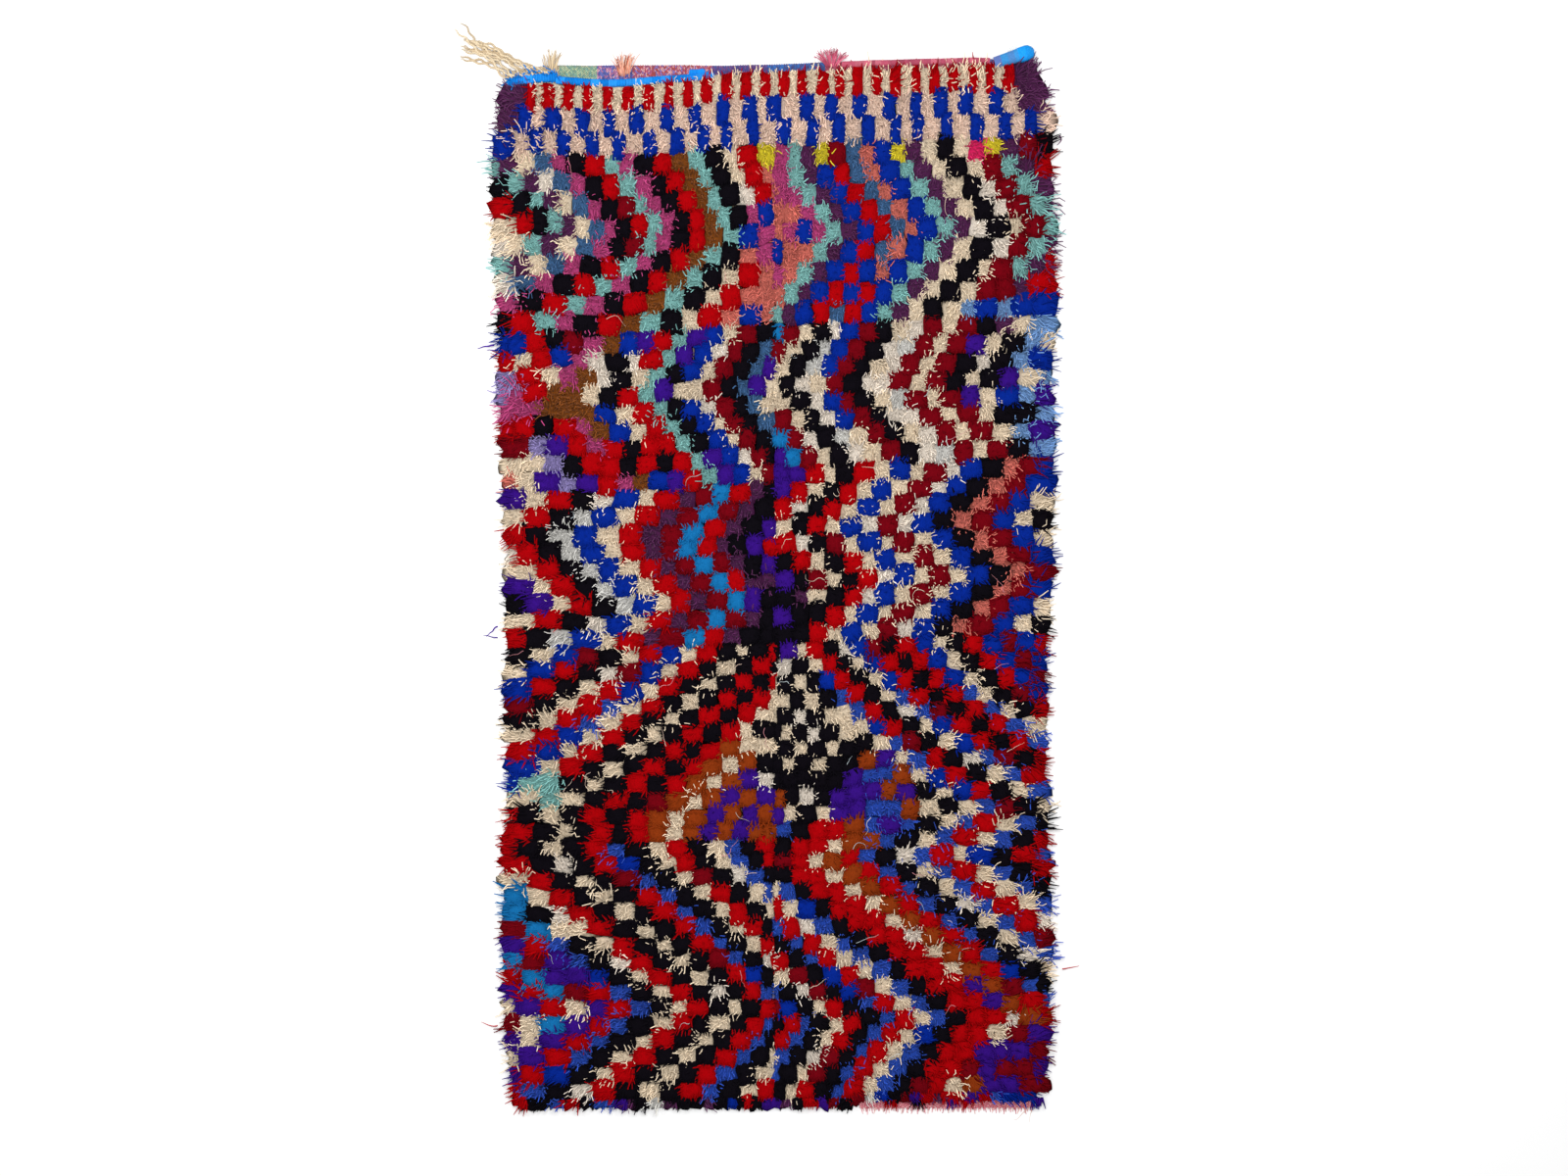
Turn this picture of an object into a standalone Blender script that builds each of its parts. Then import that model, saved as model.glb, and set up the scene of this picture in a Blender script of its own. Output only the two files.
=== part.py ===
"""Boucherouite rug lying flat: a knotted shag field, its flat-woven heading and foot band, the corner
tassel of warp ends, the small tufts on the heading and the bound corner.

Metres, +Z up. The head of the rug is at +Y. The origin is on the floor, under the middle of the rug.
"""

import math

import bmesh
import bpy
from mathutils import Vector, noise

MM = 0.001
GAP = 0.3 * MM

# The knotted field: full and lumpy inside, lower at its rim.
PILE_HEIGHT = 23 * MM
PILE_LUMPS = 6 * MM
LUMP_SIZE = 58 * MM
FINE_LUMPS = 0.6
FINE_LUMP_SIZE = LUMP_SIZE / 2.3
RIM_HEIGHT = 13 * MM
RIM_SLOPE_WIDTH = 60 * MM
RIM_LUMPS = 0.35
CELLS_ACROSS = 44
CELLS_ALONG = 80

# The locks of pile that stand out past the rim.
LOCK_LENGTH = 20 * MM
LOCK_VARIATION = 8 * MM
LOCK_LEAN = 10 * MM
LOCK_TIP_HEIGHT = 3 * MM

# Reach of the pile to each side of the middle line, locks included, from the foot to the head.
# Columns: place along the rug, reach to the left, reach to the right.
SIDE_REACH = (
    (-1.190, 0.608, 0.610),
    (-1.150, 0.620, 0.630),
    (-1.000, 0.634, 0.637),
    (-0.760, 0.639, 0.639),
    (-0.580, 0.634, 0.634),
    (-0.400, 0.627, 0.630),
    (-0.220, 0.632, 0.627),
    (-0.085, 0.627, 0.636),
    (0.095, 0.630, 0.641),
    (0.295, 0.636, 0.648),
    (0.450, 0.648, 0.640),
    (0.610, 0.648, 0.650),
    (0.770, 0.650, 0.648),
    (0.900, 0.661, 0.643),
    (1.070, 0.663, 0.642),
    (1.150, 0.650, 0.612),
    (1.195, 0.640, 0.590),
)

# The head of the rug, from left to right. The heading is rolled over on the right, so it is narrow and
# thick there. Columns: place across, edge of the pile, outer edge of the heading, thickness of the heading.
HEAD_SECTIONS = (
    (-0.623, 1.152, 1.187, 0.0050),
    (-0.575, 1.157, 1.197, 0.0050),
    (-0.522, 1.160, 1.203, 0.0050),
    (-0.387, 1.150, 1.203, 0.0050),
    (-0.208, 1.164, 1.204, 0.0050),
    (-0.129, 1.178, 1.203, 0.0060),
    (-0.006, 1.185, 1.206, 0.0070),
    (0.129, 1.187, 1.212, 0.0080),
    (0.241, 1.191, 1.216, 0.0090),
    (0.354, 1.195, 1.219, 0.0090),
    (0.466, 1.199, 1.221, 0.0090),
    (0.505, 1.199, 1.218, 0.0090),
    (0.575, 1.207, 1.218, 0.0090),
)
HEADING_START = -0.619
HEADING_END = 0.505
WEAVE_WAVINESS = 1.2 * MM
WEAVE_WAVE_LENGTH = 50 * MM

# The foot of the field, which steps in where the flat-woven foot band shows on the right.
HEAD_NOMINAL = 1.190
FOOT_EDGE = -1.184
FOOT_EDGE_AT_BAND = -1.170
FOOT_STEP_WIDTH = 18 * MM
FOOT_WAVINESS = 2 * MM
FOOT_WAVE_LENGTH = 110 * MM
FOOT_BAND_START = 0.190
FOOT_BAND_END = 0.588
FOOT_BAND_WIDTH = 16 * MM
FOOT_BAND_THICKNESS = 5 * MM
FRINGE_COUNT = 34
FRINGE_LENGTH = 9 * MM
FRINGE_VARIATION = 0.4
FRINGE_LEAN = 0.25
FRINGE_STEPS = 2

# Sides of the field's cells, near enough for distances over it.
CELL_WIDTH = 1.26 / CELLS_ACROSS
CELL_LENGTH = (HEAD_NOMINAL - FOOT_EDGE) / CELLS_ALONG

# Yarn of the loose strands, flat side down on the floor.
YARN_WIDTH = 2.4 * MM
YARN_HEIGHT = 3.0 * MM
YARN_TIP_THINNING = 0.7
STRIP_WIDTH = 4 * MM

# The corner tassel: the long warp ends, swept to the left and fanned from a strip along the heading.
TASSEL_START = -0.617
TASSEL_END = -0.538
TASSEL_LENGTHS = (0.120, 0.128, 0.138, 0.150, 0.146, 0.158, 0.165, 0.190, 0.205, 0.168, 0.150, 0.140)
TASSEL_LEAVES_AT = math.radians(124)
TASSEL_TURNS_TO = math.radians(159)
TASSEL_FAN = math.radians(16)
TASSEL_FAN_MIDDLE = 0.4
TASSEL_STEPS = 5

# The small tufts left standing past the heading, their outer strands the shorter ones.
TUFT_OUTER_SHORTENING = 0.35
TUFT_VARIATION = 0.12
TUFT_STEPS = 3
# Columns: name, middle, width of the root, length, number of strands, fan in degrees.
TUFTS = (
    ("tuft_cream", -0.517, 0.022, 0.034, 6, 34),
    ("tuft_salmon", -0.349, 0.028, 0.032, 8, 30),
    ("tuft_rose", 0.129, 0.036, 0.030, 11, 70),
)

# The corner bound with wrapped yarn, at the right end of the heading.
KNOT_START = Vector((0.5055, 1.2130, 0))
KNOT_END = Vector((0.5830, 1.2330, 0))
KNOT_RADIUS = 12 * MM
KNOT_AXIS_HEIGHT = 0.8 * KNOT_RADIUS
KNOT_END_ROUNDING = 0.45
KNOT_RINGS = 9
KNOT_SIDES = 12

# Loose yarns at the rim. Columns: side (-1 left, 1 right), place along the rug, reach past the rim's locks.
STRAY_YARNS = (
    (-1, 0.560, 0.030),
    (-1, -0.090, 0.034),
    (-1, -1.010, 0.036),
    (1, -0.880, 0.034),
    (-1, 1.045, 0.026),
)


def along_table(table, place, column):
    """The value of a column at a place between two rows of a table, eased from row to row."""
    if place <= table[0][0]:
        return table[0][column]
    for low, high in zip(table, table[1:]):
        if place <= high[0]:
            share = (place - low[0]) / (high[0] - low[0])
            share = share * share * (3 - 2 * share)
            return low[column] + share * (high[column] - low[column])
    return table[-1][column]


def wobble(*place):
    """A steady pseudo-random value from -1 to 1 for a place."""
    return noise.noise(Vector(place))


def clear_scene():
    for obj in list(bpy.data.objects):
        bpy.data.objects.remove(obj, do_unlink=True)


def yarn_material(name, colour, roughness=0.9):
    material = bpy.data.materials.new(name)
    material.use_nodes = True
    shader = material.node_tree.nodes["Principled BSDF"]
    shader.inputs["Base Color"].default_value = (*colour, 1)
    shader.inputs["Roughness"].default_value = roughness
    shader.inputs["Metallic"].default_value = 0
    return material


def finish_object(name, bm, material, smooth_angle=50):
    """A named object from a bmesh, with its normals out and its round parts shaded smooth."""
    bmesh.ops.recalc_face_normals(bm, faces=bm.faces)
    mesh = bpy.data.meshes.new(name)
    bm.to_mesh(mesh)
    bm.free()
    mesh.shade_smooth()
    mesh.set_sharp_from_angle(angle=math.radians(smooth_angle))
    mesh.materials.append(material)
    obj = bpy.data.objects.new(name, mesh)
    bpy.context.collection.objects.link(obj)


def head_edge(x):
    """Where the pile ends and the heading begins, as a place along the rug."""
    return along_table(HEAD_SECTIONS, x, 1)


def foot_edge(x):
    """The foot of the field, a little wavy, which steps in where the foot band shows."""
    share = min(max((x - FOOT_BAND_START) / FOOT_STEP_WIDTH + 1, 0), 1)
    edge = FOOT_EDGE + share * (FOOT_EDGE_AT_BAND - FOOT_EDGE)
    return edge + FOOT_WAVINESS * wobble(x / FOOT_WAVE_LENGTH, 3.1, 0) * (1 - share)


def field_point(across, along):
    """A point of the field's outline grid, across and along running from 0 to 1."""
    nominal = FOOT_EDGE + along * (HEAD_NOMINAL - FOOT_EDGE)
    left = along_table(SIDE_REACH, nominal, 1) - LOCK_LENGTH
    right = along_table(SIDE_REACH, nominal, 2) - LOCK_LENGTH
    x = -left + across * (left + right)
    y = foot_edge(x) + along * (head_edge(x) - foot_edge(x))
    return x, y


def rim_line(along):
    """The head or foot line of the field, as the straight stretches between its cells."""
    return [field_point(i / CELLS_ACROSS, along) for i in range(CELLS_ACROSS + 1)]


def on_line(line, x):
    """The place along the rug of a line of (x, y) points, straight between them."""
    for low, high in zip(line, line[1:]):
        if x <= high[0] or high is line[-1]:
            return low[1] + (high[1] - low[1]) * (x - low[0]) / (high[0] - low[0])


def heading_lines():
    """The inner and the outer line of the heading, with a point at each cell of the pile's own rim."""
    head = rim_line(1)
    places = [HEADING_START] + [x for x, _ in head if HEADING_START < x < HEADING_END] + [HEADING_END]
    inner = [(x, on_line(head, x) + GAP) for x in places]
    outer = []
    for x in places:
        waver = WEAVE_WAVINESS * wobble(x / WEAVE_WAVE_LENGTH, 5, 0)
        outer.append((x, along_table(HEAD_SECTIONS, x, 2) + waver))
    return inner, outer


def pile_top(x, y, rim_distance):
    """Height of the lumpy pile: full inside, sloping down to the rim."""
    rise = min(rim_distance / RIM_SLOPE_WIDTH, 1)
    rise = 1 - (1 - rise) ** 2
    lumps = wobble(x / LUMP_SIZE, y / LUMP_SIZE, 0.5)
    lumps += FINE_LUMPS * wobble(x / FINE_LUMP_SIZE, y / FINE_LUMP_SIZE, 7)
    lump_share = RIM_LUMPS + (1 - RIM_LUMPS) * rise
    return RIM_HEIGHT + rise * (PILE_HEIGHT - RIM_HEIGHT) + PILE_LUMPS * lump_share * lumps


def build_pile_field():
    """The knotted field: a lumpy slab with a flat back, and a pointed lock on each stretch of its rim."""
    bm = bmesh.new()
    top = {}
    for j in range(CELLS_ALONG + 1):
        for i in range(CELLS_ACROSS + 1):
            x, y = field_point(i / CELLS_ACROSS, j / CELLS_ALONG)
            steps_in = min(i, CELLS_ACROSS - i, j, CELLS_ALONG - j)
            top[i, j] = bm.verts.new((x, y, pile_top(x, y, steps_in * CELL_WIDTH)))
    for j in range(CELLS_ALONG):
        for i in range(CELLS_ACROSS):
            bm.faces.new((top[i, j], top[i + 1, j], top[i + 1, j + 1], top[i, j + 1]))

    rim = [(i, 0) for i in range(CELLS_ACROSS)]
    rim += [(CELLS_ACROSS, j) for j in range(CELLS_ALONG)]
    rim += [(i, CELLS_ALONG) for i in range(CELLS_ACROSS, 0, -1)]
    rim += [(0, j) for j in range(CELLS_ALONG, 0, -1)]
    floor = {key: bm.verts.new((top[key].co.x, top[key].co.y, 0)) for key in rim}
    bm.faces.new([floor[key] for key in reversed(rim)])
    walls = []
    for key, following in zip(rim, rim[1:] + rim[:1]):
        wall = bm.faces.new((floor[key], floor[following], top[following], top[key]))
        walls.append((wall, key, following))
    bm.normal_update()

    # The heading and the foot band lie against the rim, so it has no locks there.
    for wall, key, following in walls:
        middle = wall.calc_center_median()
        on_head = key[1] == CELLS_ALONG and following[1] == CELLS_ALONG
        on_foot = key[1] == 0 and following[1] == 0
        at_band = on_foot and middle.x > FOOT_BAND_START - CELL_WIDTH
        if not (on_head or at_band):
            add_rim_lock(bm, wall, middle)
    finish_object("pile_field", bm, yarn_material("knotted wool", (0.38, 0.03, 0.06)), 75)


def add_rim_lock(bm, wall, middle):
    """One lock of pile: the wall's face drawn out to a point that leans down to the floor."""
    outward = Vector((wall.normal.x, wall.normal.y, 0)).normalized()
    sideways = Vector((-outward.y, outward.x, 0))
    reach = LOCK_LENGTH + LOCK_VARIATION * wobble(middle.x / LOCK_LENGTH, middle.y / LOCK_LENGTH, 2)
    for side, place, length in STRAY_YARNS:
        is_on_side = side * outward.x > abs(outward.y)
        if is_on_side and abs(middle.y - place) < CELL_LENGTH / 2:
            reach = LOCK_LENGTH + length
    lean = LOCK_LEAN * wobble(middle.x / LOCK_LENGTH, middle.y / LOCK_LENGTH, 9)
    tip = bmesh.ops.poke(bm, faces=[wall])["verts"][0]
    tip.co = Vector((middle.x, middle.y, LOCK_TIP_HEIGHT)) + outward * reach + sideways * lean


def build_heading():
    """The weft-faced band that closes the rug at its head: seven-sided sections with eased outer edges."""
    bm = bmesh.new()
    rings = []
    for (x, near), (_, far) in zip(*heading_lines()):
        thickness = along_table(HEAD_SECTIONS, x, 3)
        ease = 0.4 * thickness
        profile = (
            (near, 0),
            (far - ease, 0),
            (far, ease),
            (far, thickness - ease),
            (far - ease, thickness),
            (near + ease, thickness),
            (near, thickness - ease),
        )
        rings.append([bm.verts.new((x, y, z)) for y, z in profile])
    for ring, following in zip(rings, rings[1:]):
        for k in range(len(ring)):
            after = (k + 1) % len(ring)
            bm.faces.new((ring[k], following[k], following[after], ring[after]))
    bm.faces.new(rings[0])
    bm.faces.new(list(reversed(rings[-1])))
    finish_object("heading_band", bm, yarn_material("flat-woven cotton", (0.42, 0.25, 0.33)))


def lay_strip(bm, outer, inner, inner_height):
    """A strip on the floor between two lines of points. Gives the face of its outer side in each cell."""
    corners = []
    for near, far in zip(outer, inner):
        corners.append(
            (
                bm.verts.new((near.x, near.y, 0)),
                bm.verts.new((near.x, near.y, YARN_HEIGHT)),
                bm.verts.new((far.x, far.y, 0)),
                bm.verts.new((far.x, far.y, inner_height)),
            )
        )
    fronts = []
    for a, b in zip(corners, corners[1:]):
        fronts.append(bm.faces.new((a[0], b[0], b[1], a[1])))
        bm.faces.new((a[2], a[3], b[3], b[2]))
        bm.faces.new((a[1], b[1], b[3], a[3]))
        bm.faces.new((a[0], a[2], b[2], b[0]))
    first, last = corners[0], corners[-1]
    bm.faces.new((first[0], first[1], first[3], first[2]))
    bm.faces.new((last[0], last[2], last[3], last[1]))
    return fronts


def grow_strand(bm, face, path):
    """Draws a face of a strip out along a path that lies on the floor, down to a thin tip."""
    middle = face.calc_center_median()
    ahead = (path[0] - middle).normalized()
    left = Vector((-ahead.y, ahead.x, 0))
    corners = []
    for vert in face.verts:
        corners.append((1 if (vert.co - middle).dot(left) > 0 else -1, vert.co.z > middle.z))
    for step, point in enumerate(path):
        before = path[step - 1] if step else middle
        ahead = Vector((point.x - before.x, point.y - before.y, 0)).normalized()
        left = Vector((-ahead.y, ahead.x, 0))
        taper = 1 - YARN_TIP_THINNING * (step / (len(path) - 1)) ** 3
        face = bmesh.ops.extrude_discrete_faces(bm, faces=[face])["faces"][0]
        for vert, (side, is_upper) in zip(face.verts, corners):
            across = left * (side * YARN_WIDTH / 2 * taper)
            vert.co = Vector((point.x, point.y, YARN_HEIGHT * taper if is_upper else 0)) + across


def roots_on_heading(start, end, count):
    """The outer corners of a strip of cells that lies against the heading's outer edge."""
    _, heading = heading_lines()
    roots = []
    for k in range(count + 1):
        x = start + (end - start) * k / count
        roots.append(Vector((x, on_line(heading, x) + GAP + STRIP_WIDTH, 0)))
    return roots


def build_strands(name, roots, paths, material):
    """Strands that stand apart, fused at their roots into a narrow strip, one path for each cell of it."""
    bm = bmesh.new()
    inner = [root - Vector((0, STRIP_WIDTH, 0)) for root in roots]
    fronts = lay_strip(bm, roots, inner, YARN_HEIGHT)
    for front, path in zip(fronts, paths):
        grow_strand(bm, front, path)
    finish_object(name, bm, material)


def build_corner_tassel():
    """The long warp ends at the left corner, swept to the left and fanned at their tips."""
    count = len(TASSEL_LENGTHS)
    roots = roots_on_heading(TASSEL_START, TASSEL_END, count)
    paths = []
    for k, length in enumerate(TASSEL_LENGTHS):
        point = (roots[k] + roots[k + 1]) / 2
        fan = TASSEL_FAN * (k / (count - 1) - TASSEL_FAN_MIDDLE)
        path = []
        for step in range(TASSEL_STEPS):
            progress = step / (TASSEL_STEPS - 1)
            swept = 1 - (1 - progress) ** 2
            bearing = TASSEL_LEAVES_AT + (TASSEL_TURNS_TO - TASSEL_LEAVES_AT) * swept - fan * progress
            point = point + Vector((math.cos(bearing), math.sin(bearing), 0)) * (length / TASSEL_STEPS)
            path.append(point)
        paths.append(path)
    build_strands("corner_tassel", roots, paths, yarn_material("warp cotton", (0.62, 0.5, 0.36)))


def build_tuft(name, middle, width, length, count, fan_degrees):
    """A small tuft of yarn ends that fans out past the heading."""
    roots = roots_on_heading(middle - width / 2, middle + width / 2, count)
    paths = []
    for k in range(count):
        point = (roots[k] + roots[k + 1]) / 2
        share = (k + 0.5) / count - 0.5
        bearing = math.radians(90 - fan_degrees * share)
        ahead = Vector((math.cos(bearing), math.sin(bearing), 0))
        variation = TUFT_VARIATION * wobble(point.x / YARN_WIDTH, 4, 0)
        reach = length * (1 - TUFT_OUTER_SHORTENING * abs(share) + variation)
        paths.append([point + ahead * reach * (step + 1) / TUFT_STEPS for step in range(TUFT_STEPS)])
    build_strands(name, roots, paths, yarn_material(name + " yarn", (0.6, 0.3, 0.28)))


def build_corner_knot():
    """The right corner, bound with wrapped yarn: a short fat roll with round ends and a flat underside."""
    bm = bmesh.new()
    axis = KNOT_END - KNOT_START
    ahead = axis.normalized()
    left = Vector((-ahead.y, ahead.x, 0))
    rings = []
    for step in range(KNOT_RINGS):
        angle = math.pi * (step + 0.5) / KNOT_RINGS
        place = KNOT_START + axis * (0.5 - 0.5 * math.cos(angle))
        radius = KNOT_RADIUS * math.sin(angle) ** KNOT_END_ROUNDING
        ring = []
        for side in range(KNOT_SIDES):
            turn = 2 * math.pi * side / KNOT_SIDES
            height = max(KNOT_AXIS_HEIGHT + radius * math.sin(turn), 0)
            ring.append(bm.verts.new(place + left * radius * math.cos(turn) + Vector((0, 0, height))))
        rings.append(ring)
    for ring, following in zip(rings, rings[1:]):
        for k in range(KNOT_SIDES):
            after = (k + 1) % KNOT_SIDES
            bm.faces.new((ring[k], ring[after], following[after], following[k]))
    bm.faces.new(list(reversed(rings[0])))
    bm.faces.new(rings[-1])
    finish_object("corner_knot", bm, yarn_material("blue wrapped yarn", (0.05, 0.25, 0.6)))


def build_foot_band():
    """The rose band that shows past the foot of the pile, with its short cut fringe."""
    foot = rim_line(0)
    inner = []
    for k in range(FRINGE_COUNT + 1):
        x = FOOT_BAND_START + (FOOT_BAND_END - FOOT_BAND_START) * k / FRINGE_COUNT
        inner.append(Vector((x, on_line(foot, x) - GAP, 0)))
    outer = [point - Vector((0, FOOT_BAND_WIDTH, 0)) for point in inner]
    bm = bmesh.new()
    for front in lay_strip(bm, outer, inner, FOOT_BAND_THICKNESS):
        middle = front.calc_center_median()
        root = Vector((middle.x, middle.y, 0))
        ahead = Vector((FRINGE_LEAN * wobble(root.x / FOOT_BAND_WIDTH, 8, 0), -1, 0)).normalized()
        length = FRINGE_LENGTH * (1 + FRINGE_VARIATION * wobble(root.x / FRINGE_LENGTH, 1, 0))
        path = [root + ahead * length * (step + 1) / FRINGE_STEPS for step in range(FRINGE_STEPS)]
        grow_strand(bm, front, path)
    finish_object("foot_band", bm, yarn_material("rose cotton", (0.6, 0.16, 0.22)))


def main():
    clear_scene()
    build_pile_field()
    build_heading()
    build_corner_tassel()
    for tuft in TUFTS:
        build_tuft(*tuft)
    build_corner_knot()
    build_foot_band()


main()
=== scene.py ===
"""A boucherouite rug spread flat on a pale floor, seen from straight above.

The rug is put together as the weaver makes it: the woven ground with its rows of knots, the pile of
cotton and wool ends, the flat-woven heading with its tufts, tassel and bound corner, and the foot band.
"""

import math

import bpy
import numpy as np
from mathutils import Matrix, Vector, noise
from mathutils.bvhtree import BVHTree


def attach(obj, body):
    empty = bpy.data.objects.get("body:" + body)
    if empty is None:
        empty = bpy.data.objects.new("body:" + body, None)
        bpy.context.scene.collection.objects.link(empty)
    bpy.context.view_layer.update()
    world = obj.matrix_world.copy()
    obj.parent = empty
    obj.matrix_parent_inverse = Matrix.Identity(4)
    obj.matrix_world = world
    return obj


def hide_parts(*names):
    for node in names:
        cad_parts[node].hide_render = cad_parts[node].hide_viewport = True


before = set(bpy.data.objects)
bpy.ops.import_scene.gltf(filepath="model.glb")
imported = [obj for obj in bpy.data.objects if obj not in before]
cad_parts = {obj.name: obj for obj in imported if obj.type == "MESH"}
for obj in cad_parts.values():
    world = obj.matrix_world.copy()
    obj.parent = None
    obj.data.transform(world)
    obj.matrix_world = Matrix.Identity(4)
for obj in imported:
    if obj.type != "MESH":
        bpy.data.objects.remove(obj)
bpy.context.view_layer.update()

MM = 0.001

# The woven ground. It is a plain weave of undyed cotton warp and weft, about 3 mm thick, with the knots
# tied in rows on it. The back shows each knot as a small coloured bead, so the design reads there too.

SEAM = -5.6 * MM
HEAD = 1.190
ROW_HEIGHTS = (  # number of rows, height of each
    (3, 54.6 * MM),
    (9, 46.0 * MM),
    (18, 40.6 * MM),
    (24, 37.3 * MM),
    (4, 38.2 * MM),
    (1, 18.0 * MM),
)

FOOT_ROW = 58
FOOT_LETTERS = "KVRGKQPKRDKB"

YARNS = {  # letter: (kind of yarn, colour)
    "R": ("wool", "A40208"),
    "D": ("wool", "6E0410"),
    "B": ("wool", "06268A"),
    "K": ("wool", "0D0A10"),
    "V": ("wool", "34107A"),
    "T": ("wool", "86340E"),
    "Z": ("wool", "156CA8"),
    "Q": ("cotton", "3056C4"),
    "C": ("cotton", "FFEACC"),
    "F": ("cotton", "FFDEC8"),
    "W": ("cotton", "FFF2E2"),
    "G": ("cotton", "E6E4DE"),
    "P": ("cotton", "5E2A58"),
    "A": ("cotton", "8FCBC6"),
    "O": ("cotton", "E47A6C"),
    "M": ("cotton", "C84A86"),
    "S": ("cotton", "476F9E"),
    "N": ("cotton", "8C4E1E"),
    "L": ("cotton", "9D90CA"),
    "Y": ("cotton", "EEDB36"),
    "H": ("cotton", "F02A6C"),
    "E": ("cotton", "7CA6DC"),
}

# The stripes of each half, read from the middle seam outward. Each zone: its first row, the place of its
# first letter, the letters, and its turns (row, blocks moved outward by the seam, and by the edge).
LEFT_ZONES = (
    (
        3, -2, "OBORCKANRKMARKMSCPAKRCW",
        ((3, 0.1, 2.4), (6, -1.0, -1.2), (7, -1.9, 0.0), (11, 1.8, 5.0)),
    ),
    (12, -1, "CVSKDCBVARVBNMRVLVC", ((12, -1.8, -1.0), (15, 0.5, 0.0), (20, -3.2, -5.0))),
    (
        21, -2, "RVKPRZDPRCBGKRCVKV",
        ((21, -0.4, -0.3), (23, 0.8, 1.9), (24, 1.7, 0.9), (27, -1.1, -1.5), (29, 0.8, 1.8)),
    ),
    (30, -1, "TVVTVTCTRKRKCKRCBRCKRBCKRB", ((30, -9.6, -9.6), (40, 0.0, 0.0), (41, 0.8, -1.0))),
    (
        42, 0, "RKBCKRCKBRKCKRCKBRVCVDR",
        ((42, 0.0, 0.0), (43, -0.4, -0.6), (52, -9.2, -9.0), (57, -5.0, -4.0)),
    ),
)
RIGHT_ZONES = (
    (
        3, -3, "ROBSMAPBRSOBAPCKCDAPRKBP",
        ((3, -1.0, -2.0), (4, -0.9, -1.1), (7, 1.6, 1.2), (11, -2.4, -2.8)),
    ),
    (12, -4, "VZDCKGBDKCGDCDVCKEBV", ((12, 2.6, 2.0), (15, 0.4, 0.0), (19, 3.7, 3.0))),
    (
        20, -3, "VVVRCKRCBCDCBKODBCKRB",
        ((20, 2.0, 1.5), (23, -0.9, -0.9), (26, 2.2, 1.8), (29, -0.9, -0.9)),
    ),
    (
        30, -8, "KTTKCKCKCKCKCBRKCBRKRBCKRBDBRKR",
        ((30, -3.6, -6.0), (33, -0.75, -3.3), (38, 4.5, 3.4), (40, 6.6, 6.1)),
    ),
    (
        41, -8, "CKRBKCRKBRCBKRRCTRBKCBRCBKRBC",
        ((41, -2.8, -2.8), (43, -5.0, -5.0), (53, 6.6, 5.4), (57, 3.7, 2.2)),
    ),
)

# Small fillings laid over the stripes: middle x and y, half width and height, how letters are used, letters.
MOTIFS = (
    (-0.006, 0.794, 0.085, 0.175, "mixed", "OBOM"),
    (0.178, 0.693, 0.067, 0.067, "checks", "RB"),
    (-0.640, 0.839, 0.070, 0.085, "mixed", "C"),
    (0.010, -0.030, 0.076, 0.140, "mixed", "VVKVKP"),
    (0.050, -0.338, 0.130, 0.235, "checks", "KC"),
    (-0.068, -0.495, 0.108, 0.094, "checks", "VT"),
    (0.226, -0.490, 0.123, 0.117, "mixed", "VTQVQ"),
    (-0.540, -0.446, 0.070, 0.060, "mixed", "AC"),
    (-0.556, -0.895, 0.130, 0.150, "mixed", "VRVCVDRVZ"),
    (0.560, -1.108, 0.160, 0.105, "mixed", "VVRVDR"),
    (0.544, 0.636, 0.120, 0.065, "mixed", "PBEDB"),
    (0.574, 0.396, 0.110, 0.120, "mixed", "VKBCEV"),
    (-0.612, 0.587, 0.055, 0.045, "mixed", "B"),
    (-0.365, 0.526, 0.090, 0.050, "mixed", "CCRK"),
    (-0.506, 0.452, 0.050, 0.075, "mixed", "N"),
    (-0.575, 0.437, 0.060, 0.055, "mixed", "M"),
    (-0.330, 0.330, 0.110, 0.060, "mixed", "NKCR"),
    (-0.600, 0.375, 0.045, 0.040, "mixed", "R"),
    (-0.612, 0.250, 0.060, 0.026, "mixed", "O"),
    (-0.540, 0.553, 0.090, 0.060, "mixed", "RBCR"),
)

# Single knots of another colour: a place inside the knot, and its letter.
SPOTS = (
    (-0.017, 0.985, "Y"),
    (0.118, 0.985, "Y"),
    (0.268, 0.985, "Y"),
    (0.450, 1.005, "H"),
    (0.488, 1.005, "Y"),
    (0.623, -0.199, "Z"),
    (0.450, -0.935, "V"),
    (0.488, -0.971, "V"),
    (-0.612, -0.681, "Z"),
    (-0.589, -0.737, "Z"),
    (-0.612, -0.850, "Z"),
    (-0.562, -0.890, "Z"),
    (-0.515, -0.924, "Z"),
    (-0.495, -0.991, "Z"),
    (-0.590, -0.985, "C"),
    (-0.500, -0.770, "C"),
)


STEADY_SCALE = 173.31
STEADY_SHIFT = Vector((0.37, 0.11, 0.53))


def steady(*place):
    """A steady value from 0 to 1, as good as random, for a place of two to four numbers."""
    place = (*place, 0, 0)
    at = Vector((place[0] + 0.7 * place[3], place[1], place[2])) * STEADY_SCALE
    return (noise.cell(at + STEADY_SHIFT) + 1) / 2 % 1


def between(pair, share):
    """The value a share of the way from the first of a pair to the second."""
    return pair[0] + (pair[1] - pair[0]) * share


def ramp(value, start, stop):
    """How far a value has come on its way from start to stop, held between 0 and 1."""
    return min(max((value - start) / (stop - start), 0), 1)


def line_at(line, x):
    """The y of a line of points at an x."""
    return np.interp(x, line[:, 0], line[:, 1])


def smooth_noise(x, y, size, layer=0.0):
    """Noise from -1 to 1 that varies over a size in metres."""
    return noise.noise(Vector((x / size, y / size, layer)))


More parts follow.
